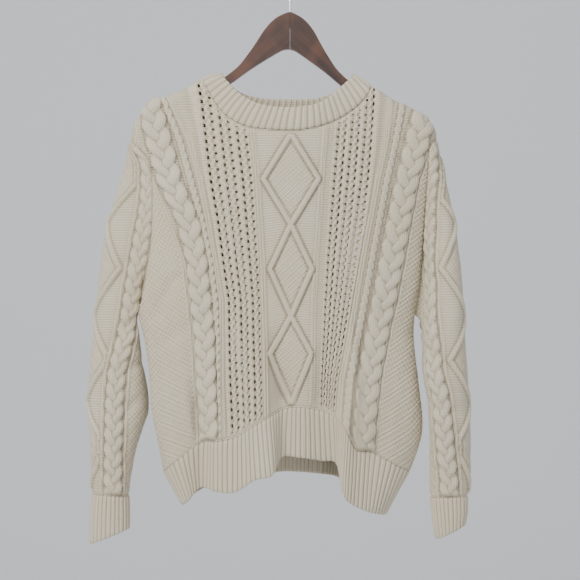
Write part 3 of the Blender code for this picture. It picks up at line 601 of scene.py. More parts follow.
def follow_pattern(data, across, up, across_at, up_at):
    """Reads a dense surface at the wanted pattern coordinates; past an edge it gives the edge's own points.

    data holds the channels by row and column, and across and up are the two channels to follow.
    """
    count = len(data)
    first = np.empty((count, len(across_at), data.shape[2]))
    index = np.arange(data.shape[1], dtype=float)
    for k in range(count):
        rising = np.maximum.accumulate(data[k, :, across])
        first[k] = read_between(data[k], np.interp(across_at, rising, index))
    out = np.empty((len(up_at), len(across_at), data.shape[2]))
    index = np.arange(count, dtype=float)
    for j in range(len(across_at)):
        rising = np.maximum.accumulate(first[:, j, up])
        out[:, j] = read_between(first[:, j], np.interp(up_at, rising, index))
    return out


def sheet_mesh(name, points, keep, flip, channels, material, replaced):
    """An open sheet from a grid of points: equal points are one, and cells not kept are holes."""
    rows, columns = points.shape[:2]
    flat = points.reshape(-1, 3)
    _, first, index = np.unique(
        np.round(flat * 5e4).astype(np.int64), axis=0, return_index=True, return_inverse=True
    )
    index = index.reshape(rows, columns)
    corners = np.stack([index[:-1, :-1], index[:-1, 1:], index[1:, 1:], index[1:, :-1]], axis=2)
    corners = corners[keep]
    if flip:
        corners = corners[:, ::-1]
    distinct = np.stack([corners[:, i] != corners[:, (i + 1) % 4] for i in range(4)], axis=1)
    whole = distinct.all(axis=1) & (corners[:, 0] != corners[:, 2]) & (corners[:, 1] != corners[:, 3])
    faces = corners[whole].tolist()
    for face, kept in zip(corners[~whole], distinct[~whole]):
        if kept.sum() == 3:
            triangle = face[kept]
            if len(set(triangle.tolist())) == 3:
                faces.append(triangle.tolist())
    return finish_mesh(name, flat[first], faces, {k: c.reshape(-1)[first] for k, c in channels.items()},
                       material, replaced)


def finish_mesh(name, points, faces, channels, material, replaced):
    """The mesh object, with its channels as attributes, riding on the body in place of its CAD nodes."""
    mesh = bpy.data.meshes.new(name)
    mesh.from_pydata(points.tolist(), [], faces)
    for key, values in channels.items():
        layer = mesh.attributes.new(key, "FLOAT", "POINT")
        layer.data.foreach_set("value", values.astype(np.float32))
    mesh.shade_smooth()
    mesh.materials.append(material)
    obj = bpy.data.objects.new(name, mesh)
    bpy.context.scene.collection.objects.link(obj)
    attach(obj, "root")
    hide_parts(*replaced)
    return obj


def ridge(off, half, height):
    """A round cord, seen across: off is the distance from its middle."""
    return height * np.sqrt(np.clip(1 - (off / half) ** 2, 0.0, 1.0))


def double_line(off):
    """Two fine cords side by side, with a shallow groove beyond them."""
    groove = 0.0006 * np.exp(-((np.abs(off) - 0.0048) / 0.0012) ** 2)
    return ridge(np.abs(off) - 0.0021, 0.0016, 0.0015) - groove


def strands(off, up, count, sway, radius, repeat, lift, thick, turns):
    """The top of a twist (one turn) or a plait (two turns) of strands that pass over each other.

    Gives its height, and how far each point is across its own strand.
    """
    best = np.zeros_like(off)
    across = np.zeros_like(off)
    for k in range(count):
        angle = 2 * np.pi * (up / repeat + k / count)
        aside = off + sway * np.sin(angle)
        over = lift * (np.sin(2 * angle) if turns == 2 else np.cos(angle))
        inside = 1 - (aside / radius) ** 2
        high = np.where(inside > 0, 0.25 * thick + over + thick * np.sqrt(np.clip(inside, 0, 1)), 0.0)
        across = np.where(high > best, aside, across)
        best = np.maximum(best, high)
    return best, across


def creases(x, z, table):
    """Soft troughs and ridges, each along a line that fades at both ends."""
    total = np.zeros_like(x)
    for x1, z1, x2, z2, half, depth in table:
        length = math.hypot(x2 - x1, z2 - z1)
        run = ((x - x1) * (x2 - x1) + (z - z1) * (z2 - z1)) / length
        off = ((x - x1) * (z2 - z1) - (z - z1) * (x2 - x1)) / length
        bow = 0.06 * length * np.sin(np.pi * np.clip(run / length, 0, 1))
        ends = np.clip((run + 0.02) / 0.03, 0, 1) * np.clip((length + 0.02 - run) / 0.03, 0, 1)
        ends = ends**2 * (3 - 2 * ends)
        total += depth * np.exp(-(((off - bow) / half) ** 2)) * ends
    return total


def blurred(grid, reach):
    """The grid averaged over 2 * reach + 1 points each way."""
    for axis in (0, 1):
        pad = [(0, 0), (0, 0)]
        pad[axis] = (reach + 1, reach)
        total = np.cumsum(np.pad(grid, pad, mode="edge"), axis=axis)
        size = grid.shape[axis]
        high = np.take(total, np.arange(2 * reach + 1, 2 * reach + 1 + size), axis=axis)
        low = np.take(total, np.arange(size), axis=axis)
        grid = (high - low) / (2 * reach + 1)
    return grid


def diamond_rope(across, z, table, limit=None):
    """Distance off the pair of ropes, and how far inside the diamonds each point is."""
    sizes = np.array(table)
    order = np.argsort(sizes[:, 0])
    heights, halves = sizes[order, 0], sizes[order, 1]
    half = np.interp(z, heights, halves)
    slope = (np.interp(z + 0.001, heights, halves) - np.interp(z - 0.001, heights, halves)) / 0.002
    if limit is not None:
        slope = np.where(half > limit, 0.0, slope)
        half = np.minimum(half, limit)
    off = (np.abs(across) - half) / np.sqrt(1 + slope**2)
    outside = (z > heights[-1]) | (z < heights[0])
    return np.where(outside, 1.0, off)


def openwork(q, up):
    """The column of holes a point is in, counted with its fraction and whole, and its course of holes."""
    column = (q - STRIPE_AT[2]) / (STRIPE_AT[3] - STRIPE_AT[2]) * OPEN_CORDS
    number = np.floor(column)
    return column, number, up / HOLE_PITCH + 0.5 * (number % 2)


def seeds(across, up, height, wide, tall):
    """Moss stitch: bumps that swap from row to row."""
    return height * np.sin(2 * np.pi * across / wide) * np.sin(2 * np.pi * up / tall)


def rope_on(height, vee, off, near, half, thick, groove):
    """Raises a rope, with a groove along both its sides, where near; its knitting is plain stitches."""
    rope = ridge(off, half, thick) - groove[0] * np.exp(-((np.abs(off) - groove[1]) / groove[2]) ** 2)
    height = np.where(near, np.maximum(height * (np.abs(off) > half), 0) + rope, height)
    return height, np.where(near & (np.abs(off) < half), 1.0, vee)


def plait_of(off, up, half, repeat):
    """A plait of three strands, half wide each side of its middle."""
    return strands(off, up, 3, 0.52 * half, 0.50 * half, repeat, PLAIT_LIFT, PLAIT_THICK, 2)


def body_relief(x, z, across, up, tables):
    """The raised knitting of a body panel: its height, its stitch kinds and the place across its stitches."""
    height = np.full_like(x, GROUND)
    vee, moss = np.zeros_like(x), np.zeros_like(x)
    stitch = x.copy()
    q = np.abs(across)
    for sign, table in zip((-1, 1), tables):
        mine = (across < 0) if sign < 0 else (across >= 0)
        u = sign * (x - MIDDLE_X)
        line, _, _, cable, braid, outer = stripe_edges(z, table)
        zone = outer - cable
        # Openwork: wavy cords between the columns of holes, and bars between the holes.
        column, _, course = openwork(q, up)
        sway = 0.19 * np.sin(2 * np.pi * (up / HOLE_PITCH + 0.25))
        near = np.abs(column + sway - np.round(column + sway))
        cord = 0.0023 * np.clip(1 - (near / 0.36) ** 2, 0, 1) ** 0.6
        bar = 0.0008 * (0.5 + 0.5 * np.cos(2 * np.pi * course))
        lace = np.where(near < 0.36, cord, 0.0) + bar - 0.0010
        inside = (q > STRIPE_AT[2] - 0.03) & (q < STRIPE_AT[3] + 0.03)
        height = np.where(mine & inside, lace, height)
        vee = np.where(mine & inside, 0.55, vee)
        # Lines and cables.
        for edge in (line, cable, outer):
            shape = double_line(u - edge)
            close = mine & (np.abs(u - edge) < 0.0055)
            height = np.where(close, shape, height)
            vee = np.where(close & (np.abs(u - edge) < 0.0038), 1.0, vee)
        half = BODY_PLAIT_HALF + BODY_PLAIT_GROW * zone
        plait, aside = plait_of(u - braid, up, half, BODY_PLAIT_REPEAT)
        ground = -0.0012 * np.exp(-((np.abs(u - braid) - half - 0.002) / 0.0022) ** 2)
        near = mine & (np.abs(u - braid) < 1.03 * half)
        height = np.where(near & (plait > 0), plait, height + np.where(mine, ground, 0.0))
        vee = np.where(near & (plait > 0), 1.0, vee)
        stitch = np.where(near, aside, stitch)
        twist_at = cable + 0.31 * (braid - cable)
        twist, aside = strands(u - twist_at, up, 2, 0.0024, 0.0029, 0.024, 0.0008, 0.0018, 1)
        near = mine & (np.abs(u - twist_at) < 0.0054) & (np.abs(u - braid) > 1.05 * half)
        height = np.where(near & (twist > 0), twist, height)
        vee = np.where(near & (twist > 0), 1.0, vee)
        stitch = np.where(near, aside, stitch)
        # Moss stitch outside the last line.
        beyond = mine & (u > outer + 0.005)
        seed = seeds((q - STRIPE_AT[-1]) * OUTSIDE_UNIT, up, 0.0012, 0.0074, 0.0070)
        height = np.where(beyond, seed, height)
        moss = np.where(beyond, 1.0, moss)
    # The middle's diamonds.
    off = diamond_rope(x - MIDDLE_X, z, DIAMONDS)
    middle = q < 1
    inside = middle & (off < -0.004)
    seed = seeds(x, z, 0.0009, 0.0074, 0.0068) + DIAMOND_LIFT
    height = np.where(inside, seed, height)
    moss = np.where(inside, 1.0, moss)
    close = middle & (np.abs(off) < 0.0085)
    height, vee = rope_on(height, vee, off, close, BODY_ROPE, 0.0040, (0.0011, 0.0056, 0.0014))
    stitch = np.where(close & (np.abs(off) < BODY_ROPE), off, stitch)
    return height, vee, moss, stitch


def stripe_edges(z, table):
    sizes = np.array(table)[::-1]
    return [np.interp(z, sizes[:, 0], sizes[:, k]) for k in range(1, 7)]


def pattern_across(x, z, tables):
    """The pattern coordinate across the body: 0 in the middle, and STRIPE_AT at each stripe."""
    total = np.zeros_like(x)
    for sign, table in zip((-1, 1), tables):
        u = sign * (x - MIDDLE_X)
        edges = [np.zeros_like(x)] + stripe_edges(z, table)
        q = STRIPE_AT[-1] + (u - edges[-1]) / OUTSIDE_UNIT
        for k in range(len(edges) - 2, -1, -1):
            share = (u - edges[k]) / (edges[k + 1] - edges[k])
            q = np.where(u < edges[k + 1], STRIPE_AT[k] + share * (STRIPE_AT[k + 1] - STRIPE_AT[k]), q)
        total = np.where(u > 0, sign * q, total)
    return total


def wale_places():
    """The pattern coordinate of every column of points, from the left to the right."""
    parts = [
        np.linspace(STRIPE_AT[k], STRIPE_AT[k + 1], STRIPE_COLUMNS[k], endpoint=False)
        for k in range(len(STRIPE_COLUMNS))
    ]
    outside = STRIPE_AT[-1] + np.arange(OUTSIDE_COLUMNS) * OUTSIDE_STEP / OUTSIDE_UNIT
    right = np.concatenate(parts + [outside])
    return np.concatenate([-right[:0:-1], right])


def edge_fade(distance, over):
    share = np.clip(distance / over, 0.0, 1.0)
    return share**2 * (3 - 2 * share)


def seam_groove(edge):
    """The groove along a seam, which starts from nothing at the edge itself."""
    return 0.0016 * np.exp(-((edge / 0.0026) ** 2)) * np.clip(edge / 0.0008, 0, 1)


def cavity_of(height):
    """How deep in a hollow each point is, from 0, by two sizes of hollow: the share of painted shade the knit
    colour gets there.
    """
    return np.clip((blurred(height, 2) - height) / 0.0011, 0, 1) * 0.7 + np.clip(
        (blurred(height, 5) - height) / 0.0022, 0, 1
    ) * 0.5


def body_panel(name, node, side, points, tables, crease_table, material):
    across = pattern_across(points[..., 0], points[..., 2], tables)
    foot = np.interp(across, across[0], points[0, :, 2])
    up = (points[..., 2] - foot) * CLOTH_HEIGHT / (CLOTH_TOP - foot)
    normal = way_out(points, -side)
    data = np.concatenate(
        [points, normal, across[..., None], up[..., None], edge_distance(points)[..., None]], axis=2
    )
    up_at = np.arange(0.0, up.max() + COURSE, COURSE)
    read = follow_pattern(data, 6, 7, wale_places(), up_at)
    place, out = read[..., :3], read[..., 3:6]
    q, v, edge = read[..., 6], read[..., 7], read[..., 8]
    x, z = place[..., 0], place[..., 2]
    height, vee, moss, stitch = body_relief(x, z, q, v, tables)
    fade = edge_fade(edge, EDGE_FADE)
    height = height * fade - seam_groove(edge)
    # Painted shade: how much the colour darkens in the hollows of the raised knitting.
    painted_shade = cavity_of(height)
    height = height + creases(x, z, crease_table) * edge_fade(edge, CREASE_FADE)
    out = out / np.linalg.norm(out, axis=2, keepdims=True)
    shown = place + out * height[..., None]

    cell = [0.25 * (a[:-1, :-1] + a[1:, :-1] + a[:-1, 1:] + a[1:, 1:]) for a in (np.abs(q), v, edge)]
    column, number, course = openwork(cell[0], cell[1])
    high = (course - np.round(course)) * HOLE_PITCH
    wide = column - number - 0.5
    hole = (wide / HOLE_HALF[0]) ** 2 + (high / HOLE_HALF[1]) ** 2 < 1
    hole &= (column > 0) & (column < OPEN_CORDS) & (cell[2] > 0.006)
    channels = {"stitch_u": stitch, "stitch_v": v, "vee": vee, "moss": moss, "painted_shade": painted_shade}
    return sheet_mesh(name, shown, ~hole, side > 0, channels, material, [node])


def hole_point(front_hole, back_hole, index):
    """The armhole's seam at these places, from 0 at the shoulder point to the underarm; minus is the back."""
    drops = np.array(ARMHOLE_DROPS) / ARMHOLE_DROPS[-1]
    share = by_row(share_rows(drops), np.abs(index) / (len(drops) - 1))[:, 0]
    return np.where((index >= 0)[:, None], along(front_hole, share), along(back_hole, share))


def section_ring(size, turn):
    """A section of a sleeve or cuff. turn is 0 at its outer edge, and 1 in front and -1 behind at its inner one."""
    outer_x, outer_z, inner_x, inner_z, y, half_depth = size[:6]
    angle = np.pi * np.abs(turn)
    bend = 2 / SLEEVE_POWER
    cos = np.sign(np.cos(angle)) * np.abs(np.cos(angle)) ** bend
    sin = np.abs(np.sin(angle)) ** bend * np.where(turn >= 0, 1, -1)
    x = 0.5 * (outer_x + inner_x) + 0.5 * (outer_x - inner_x) * cos
    z = 0.5 * (outer_z + inner_z) + 0.5 * (outer_z - inner_z) * cos
    return np.stack([x, y - half_depth * sin, z], axis=1)


def sleeve_surface(front_hole, back_hole, sections):
    """The sleeve's outer face, read densely: down from the armhole, and round from the rear underarm."""
    half = len(ARMHOLE_DROPS) - 1
    index = np.linspace(-half, half, 481)
    ring = hole_point(front_hole, back_hole, index)
    outer, inner = ring[240], ring[-1]
    rows = [(outer[0], outer[2], inner[0], inner[2], 0.002, 0.014)] + list(sections)
    kept = (1.0,) + BOW_KEPT + (0.0,) * (len(sections) - len(BOW_KEPT))
    rows = [row + (share,) for row, share in zip(rows, kept)]
    sizes = by_row(rows, np.linspace(0, 1, 421))
    bow = ring - section_ring(sizes[0], index / half)
    return np.stack([
        section_ring(size, index / half) + np.clip(size[6], 0, 1) * bow for size in sizes
    ])


def level_sections(surface, levels, flip):
    """The sleeve cut level: points round it at each height, with normals; past the armhole, its seam."""
    normal = way_out(surface, flip)
    data = np.concatenate([surface, normal, edge_rows(surface)], axis=2)
    count, middle = surface.shape[1], surface.shape[1] // 2
    out = np.empty((len(levels), count, data.shape[2]))
    index = np.arange(len(surface), dtype=float)
    for m in range(count):
        falling = np.minimum.accumulate(surface[:, m, 2])
        places = np.interp(-levels, -falling, index)
        out[:, m] = read_between(data[:, m], places)
    ring = data[0]
    for half in (slice(middle, None), slice(middle, None, -1)):
        seam = ring[half]
        at = np.interp(-levels, -np.minimum.accumulate(seam[:, 2]), np.arange(len(seam), dtype=float))
        for k in range(len(levels)):
            past = np.arange(len(seam)) > at[k]
            if past.any():
                row = out[k, half]
                row[past] = read_between(seam, at[k : k + 1])[0]
    return out


def edge_rows(surface):
    """How far each point is from the armhole and from the cuff, along its column."""
    up = np.linalg.norm(np.diff(surface, axis=0), axis=2)
    up = np.concatenate([np.zeros((1, surface.shape[1])), np.cumsum(up, axis=0)], axis=0)
    return np.minimum(up, up[-1:] - up)[..., None]


def sleeve(name, node, sign, holes, sections, braid, crease_table, material):
    surface = sleeve_surface(*holes, sections)
    top, foot = surface[..., 2].max(), surface[..., 2].min()
    levels = np.append(np.arange(top - 0.0004, foot, -SLEEVE_STEP), foot - 0.0002)
    cut = level_sections(surface, levels, sign)
    middle = cut.shape[1] // 2
    steps = np.linalg.norm(np.diff(cut[..., :3], axis=1), axis=2)
    round_from = np.concatenate([np.zeros((len(cut), 1)), np.cumsum(steps, axis=1)], axis=1)
    around = round_from - round_from[:, middle : middle + 1]

    # The braid's middle round the sleeve, found from where it shows at the front.
    seen = np.array(braid)[::-1]
    braid_x = np.interp(levels, seen[:, 0], seen[:, 1])
    braid_at = np.array([
        np.interp(-sign * x, -sign * row[middle:, 0], far[middle:])
        for x, row, far in zip(braid_x, cut, around)
    ])
    braid_at = np.interp(levels, levels[::-1][::12], braid_at[::-1][::12])

    reach = np.abs(around).max()
    places = np.arange(-math.ceil(reach / SLEEVE_STEP), math.ceil(reach / SLEEVE_STEP) + 1) * SLEEVE_STEP
    index = np.arange(cut.shape[1], dtype=float)
    read = np.stack([
        read_between(np.concatenate([row, far[:, None]], axis=1), np.interp(places, far, index))
        for row, far in zip(cut, around)
    ])
    place, out, edge, w = read[..., :3], read[..., 3:6], read[..., 6], read[..., 7]
    edge = np.minimum(edge, np.minimum(w - around[:, :1], around[:, -1:] - w) + 0.002)
    x, z = place[..., 0], place[..., 2]
    at = braid_at[:, None] + np.zeros_like(w)
    far = np.abs(w)
    half = SLEEVE_PLAIT_HALF
    height = np.full_like(w, GROUND)
    vee, moss, stitch = np.zeros_like(w), np.zeros_like(w), w.copy()
    off = diamond_rope(w - 0.002, z, SLEEVE_DIAMONDS, at - half - 0.0095)
    seed = seeds(w, z, 0.0008, 0.0068, 0.0068)
    within = (off < -0.004) & (far < at)
    height = np.where(within, seed + DIAMOND_LIFT, height)
    beyond = far > at + half + 0.0085
    height = np.where(beyond, seeds(w, z, 0.0011, 0.0074, 0.0072), height)
    moss = np.where(within | beyond, 1.0, moss)
    close = (np.abs(off) < 0.0080) & (far < at)
    height, vee = rope_on(height, vee, off, close, SLEEVE_ROPE, 0.0034, (0.0010, 0.0054, 0.0014))
    for line in (at - half - 0.0045, at + half + 0.0045):
        near = np.abs(far - line) < 0.0030
        height = np.where(near, ridge(far - line, 0.0019, 0.0016), height)
        vee = np.where(near, 1.0, vee)
    plait, aside = plait_of(far - at, z, half, SLEEVE_PLAIT_REPEAT)
    near = np.abs(far - at) < 1.03 * half
    height = np.where(near, np.maximum(plait, -0.0006), height)
    vee = np.where(near & (plait > 0), 1.0, vee)
    stitch = np.where(near, aside, stitch)

    fade = edge_fade(edge, EDGE_FADE)
    height = height * fade - seam_groove(edge)
    # Painted shade: how much the colour darkens in the hollows of the raised knitting.
    painted_shade = cavity_of(height)
    height = height + creases(x, z, crease_table) * edge_fade(edge, CREASE_FADE)
    out = out / np.maximum(np.linalg.norm(out, axis=2, keepdims=True), 1e-9)
    shown = place + out * height[..., None]
    channels = {"stitch_u": stitch, "stitch_v": -z, "vee": vee, "moss": moss, "painted_shade": painted_shade}
    keep = np.ones((shown.shape[0] - 1, shown.shape[1] - 1), bool)
    return sheet_mesh(name, shown, keep, sign > 0, channels, material, [node]), surface


def rib_shell(name, node, rows, count, samples, closed, flip, crown, free_first, material):
    """A closed shell of ribbed cloth between two lines of points; the ribs run from one to the other.

    rows are lines of points, spaced evenly up the rib. crown lifts its middle outwards.
    """
    rows = np.stack(rows)
    middle = rows.mean(axis=0)
    steps = np.linalg.norm(np.diff(middle, axis=0), axis=1)
    length = np.concatenate([[0.0], np.cumsum(steps)])
    columns = count * samples
    share = np.arange(columns + (0 if closed else 1)) / columns
    index = np.interp(share * length[-1], length, np.arange(len(length), dtype=float))
    lines = np.stack([read_between(row, index) for row in rows])
    tall = np.linalg.norm(lines[-1] - lines[0], axis=1).mean()
    many = max(8, round(tall / 0.0030))
    up = np.linspace(0, 1, many)
    spread = lines.reshape(len(lines), -1)
    lines = read_between(spread, up * (len(lines) - 1)).reshape(many, -1, 3)
    if closed:
        wide = np.concatenate([lines[:, -1:], lines, lines[:, :1]], axis=1)
        normal = way_out(wide, flip)[:, 1:-1]
    else:
        normal = way_out(lines, flip)
    normal = blurred_normals(normal)
    phase = share * count
    wobble = 0.05 * np.sin(phase * 2.1) + 0.04 * np.sin(phase * 0.83 + 1.0)
    fraction = np.mod(phase + wobble * np.sin(np.pi * up)[:, None], 1.0)
    wave = np.abs(np.sin(np.pi * fraction)) ** 0.75
    down = up * tall if free_first else (1 - up) * tall
    end = 1 - 0.35 * np.exp(-((down / 0.0025) ** 2))
    seam = 1 - np.exp(-(((tall - down) / 0.0028) ** 2))
    height = (0.0021 * wave - 0.0009) * end[:, None] * (0.35 + 0.65 * seam[:, None])
    height = height + crown * np.sin(np.pi * up)[:, None] - 0.0009 * (1 - seam[:, None])
    outer = lines + normal * height[..., None]
    inner = lines + normal * (0.75 * height - RIB_CLOTH)[..., None]
    lip_row = 0 if free_first else -1
    run = lines[0] - lines[1] if free_first else lines[-1] - lines[-2]
    run = run / np.linalg.norm(run, axis=1, keepdims=True)
    lip = 0.5 * (outer[lip_row] + inner[lip_row]) + 0.0010 * run
    if free_first:
        loop = np.concatenate([inner[::-1], lip[None], outer])
    else:
        loop = np.concatenate([outer, lip[None], inner[::-1]])
    around, wide = loop.shape[:2]
    number = np.arange(around * wide).reshape(around, wide)
    over = np.roll(number, -1, axis=0)
    if closed:
        beside, over_beside = np.roll(number, -1, axis=1), np.roll(over, -1, axis=1)
    else:
        beside, over_beside = number[:, 1:], over[:, 1:]
        number, over = number[:, :-1], over[:, :-1]
    faces = np.stack([number, beside, over_beside, over], axis=2).reshape(-1, 4)
    faces = (faces[:, ::-1] if flip < 0 else faces).tolist()
    if not closed:
        for column in (0, wide - 1):
            for k in range(many - 1):
                if free_first:
                    a, b = many + 1 + k, many + 2 + k
                    c, d = many - 1 - k, many - 2 - k
                else:
                    a, b = k, k + 1
                    c, d = around - 1 - k, around - 2 - k
                cap = [i * wide + column for i in (a, b, d, c)]
                faces.append(cap if (column == 0) == (flip > 0) else cap[::-1])
    # Painted shade in the grooves between the ribs, for the knit colour to darken.
    groove_shade = np.clip(1.15 - 1.5 * wave, 0, 1) * 0.8
    ones = np.ones_like(wave)
    u = (fraction - 0.5) * length[-1] / count
    v = down[:, None] * ones

    def round_loop(grid, lip):
        """The channel's values in the order of the loop, with its own row at the rounded free edge."""
        if free_first:
            return np.concatenate([grid[::-1], lip[None], grid])
        return np.concatenate([grid, lip[None], grid[::-1]])

    channels = {
        "stitch_u": round_loop(u, u[lip_row]),
        "stitch_v": round_loop(v, v[lip_row]),
        "vee": round_loop(ones, ones[0]),
        "moss": round_loop(0 * ones, 0 * ones[0]),
        "painted_shade": round_loop(groove_shade, LIP_PAINTED_SHADE * ones[0]),
    }
    channels = {k: c.reshape(-1) for k, c in channels.items()}
    return finish_mesh(name, loop.reshape(-1, 3), faces, channels, material, [node])


def blurred_normals(normal):
    soft = np.stack([blurred(normal[..., k], 3) for k in range(3)], axis=2)
    return soft / np.maximum(np.linalg.norm(soft, axis=2, keepdims=True), 1e-9)


# Materials.
def make_material(name):
    material = bpy.data.materials.new(name)
    material.use_nodes = True
    tree = material.node_tree
    return material, tree, tree.nodes["Principled BSDF"]


class Nodes:
    """Short calls for the nodes of one material."""

    def __init__(self, tree):
        self.tree = tree

    def add(self, kind, **settings):
        node = self.tree.nodes.new(kind)
        for key, value in settings.items():
            setattr(node, key, value)
        return node

    def link(self, source, target):
        self.tree.links.new(source, target)

    def feed(self, socket, value):
        if isinstance(value, (int, float)):
            socket.default_value = value
        else:
            self.link(value, socket)

    def math(self, operation, a, b=0.0, c=0.0, clamp=False):
        node = self.add("ShaderNodeMath", operation=operation, use_clamp=clamp)
        for socket, value in zip(node.inputs, (a, b, c)):
            self.feed(socket, value)
        return node.outputs[0]

    def lerp(self, share, zero, one):
        """zero where share is 0 and one where it is 1."""
        rest = self.math("MULTIPLY", zero, self.math("SUBTRACT", 1.0, share))
        return self.math("ADD", self.math("MULTIPLY", one, share), rest)

    def bump(self, height, strength, distance, shader):
        node = self.add("ShaderNodeBump")
        node.inputs["Strength"].default_value = strength
        node.inputs["Distance"].default_value = distance
        self.link(height, node.inputs["Height"])
        self.link(node.outputs["Normal"], shader.inputs["Normal"])

    def attribute(self, name):
        return self.add("ShaderNodeAttribute", attribute_name=name).outputs["Fac"]

    def noise(self, scale, detail=3.0, rough=0.5, vector=None):
        node = self.add("ShaderNodeTexNoise")
        node.inputs["Scale"].default_value = scale
        node.inputs["Detail"].default_value = detail
        node.inputs["Roughness"].default_value = rough
        if vector is None:
            vector = self.add("ShaderNodeTexCoord").outputs["Object"]
        self.link(vector, node.inputs["Vector"])
        return node.outputs["Fac"]

    def mix(self, share, a, b):
        node = self.add("ShaderNodeMix", data_type="RGBA")
        self.feed(node.inputs["Factor"], share)
        for socket, value in ((node.inputs["A"], a), (node.inputs["B"], b)):
            if isinstance(value, tuple):
                socket.default_value = (*value, 1.0)
            else:
                self.link(value, socket)
        return node.outputs["Result"]


WOOL_LIGHT = (0.640, 0.580, 0.445)
WOOL_WARM = (0.560, 0.485, 0.350)
# Colour of the painted shade between the stitches and in the hollows.
WOOL_PAINTED_SHADE = (0.225, 0.165, 0.095)
WOOL_FLECK = (0.75, 0.71, 0.60)
WOOD_DARK = (0.013, 0.006, 0.004)
WOOD_BROWN = (0.072, 0.026, 0.013)
WOOD_RED = (0.120, 0.046, 0.021)
STITCH = (0.0034, 0.0030)  # width of half a stitch, height of a stitch


def knit_material(name, depth):
    """Cream wool: single stitches as bump along the knitting, painted shade darkening the hollows, and a nap."""
    material, tree, shader = make_material(name)
    n = Nodes(tree)
    u = n.math("DIVIDE", n.attribute("stitch_u"), STITCH[0])
    v = n.math("DIVIDE", n.attribute("stitch_v"), STITCH[1])
    vee, moss, painted_shade = n.attribute("vee"), n.attribute("moss"), n.attribute("painted_shade")
    # Plain stitches: two slanted legs to each wale.
    side = n.math("PINGPONG", u, 1.0)
    leg = n.math("SINE", n.math("MULTIPLY", side, math.pi))
    slant = n.math("SINE", n.math("MULTIPLY", n.math("ADD", v, n.math("MULTIPLY", side, 0.55)), 2 * math.pi))
    slant = n.math("MULTIPLY_ADD", slant, 0.5, 0.5)
    plain = n.math("MULTIPLY", n.math("POWER", leg, 0.6), n.math("MULTIPLY_ADD", slant, 0.6, 0.4))
    # Purl side: rows of small arcs.
    arc = n.math("SINE", n.math("MULTIPLY", u, 2 * math.pi * 0.8))
    row = n.math("SINE", n.math("MULTIPLY_ADD", arc, 0.9, n.math("MULTIPLY", v, 2 * math.pi * 0.8)))
    purl = n.math("MULTIPLY_ADD", row, 0.5, 0.5)
    # Moss: bumps that swap from row to row.
    check = n.math("MULTIPLY", n.math("SINE", n.math("MULTIPLY", u, math.pi * 1.33)),
                   n.math("SINE", n.math("MULTIPLY", v, math.pi * 1.25)))
    bumps = n.math("MULTIPLY_ADD", check, 0.5, 0.5)
    blend = n.lerp(vee, purl, plain)
    blend = n.lerp(moss, blend, bumps)
    fuzz = n.noise(900.0, 4.0, 0.7)
    lumps = n.noise(150.0, 2.0, 0.5)
    nap = n.math("ADD", n.math("MULTIPLY", fuzz, 0.35), n.math("MULTIPLY", lumps, 0.5))
    relief = n.math("ADD", blend, nap)
    n.bump(relief, 0.85, depth, shader)

    wide = n.noise(7.0, 3.0, 0.55)
    colour = n.mix(n.math("MULTIPLY_ADD", wide, 1.6, -0.45, clamp=True), WOOL_LIGHT, WOOL_WARM)
    # Painted shade: the colour darkens between the stitches and in the hollows of the raised knitting.
    between = n.math("SUBTRACT", 1.0, blend)
    hollow = n.math("MULTIPLY_ADD", between, 0.30, n.math("MULTIPLY", painted_shade, 0.50), clamp=True)
    fleck = n.math("MULTIPLY_ADD", fuzz, 0.6, -0.22, clamp=True)
    colour = n.mix(n.math("MULTIPLY", hollow, 0.9), colour, WOOL_PAINTED_SHADE)
    colour = n.mix(n.math("MULTIPLY", fleck, 0.35), colour, WOOL_FLECK)
    n.link(colour, shader.inputs["Base Color"])
    shader.inputs["Roughness"].default_value = 0.92
    shader.inputs["Specular IOR Level"].default_value = 0.2
    shader.inputs["Sheen Weight"].default_value = 0.25
    shader.inputs["Sheen Roughness"].default_value = 0.5
    shader.inputs["Sheen Tint"].default_value = (0.95, 0.90, 0.80, 1.0)
    return material


def wood_material():
    """Dark stained hardwood: long grain down each arm, redder where the stain is thin, with a soft lacquer."""
    material, tree, shader = make_material("dark_walnut")
    n = Nodes(tree)
    coordinates = n.add("ShaderNodeTexCoord").outputs["Object"]
    split = n.add("ShaderNodeSeparateXYZ")
    n.link(coordinates, split.inputs[0])
    out = n.math("ABSOLUTE", split.outputs["X"])
    down = split.outputs["Z"]
    # Along the arm and square to it, for an arm that slopes by about 45 degrees.
    run = n.math("MULTIPLY", n.math("SUBTRACT", out, down), 0.707)
    across = n.math("MULTIPLY", n.math("ADD", out, down), 0.707)
    joined = n.add("ShaderNodeCombineXYZ")
    n.link(n.math("MULTIPLY", run, 5.0), joined.inputs[0])
    n.link(n.math("MULTIPLY", across, 95.0), joined.inputs[1])
    n.link(n.math("MULTIPLY", split.outputs["Y"], 60.0), joined.inputs[2])
    grain = n.noise(1.0, 6.0, 0.62, joined.outputs[0])
    patches = n.noise(22.0, 2.0, 0.5)
    pores = n.noise(6.0, 4.0, 0.7, joined.outputs[0])
    colour = n.mix(n.math("MULTIPLY_ADD", grain, 2.6, -0.85, clamp=True), WOOD_DARK, WOOD_BROWN)
    colour = n.mix(n.math("MULTIPLY_ADD", patches, 2.2, -0.95, clamp=True), colour, WOOD_RED)
    n.link(colour, shader.inputs["Base Color"])
    n.link(n.math("MULTIPLY_ADD", pores, 0.30, 0.25), shader.inputs["Roughness"])
    shader.inputs["Coat Weight"].default_value = 0.35
    shader.inputs["Coat Roughness"].default_value = 0.22
    n.bump(pores, 0.35, 0.0003, shader)
    return material


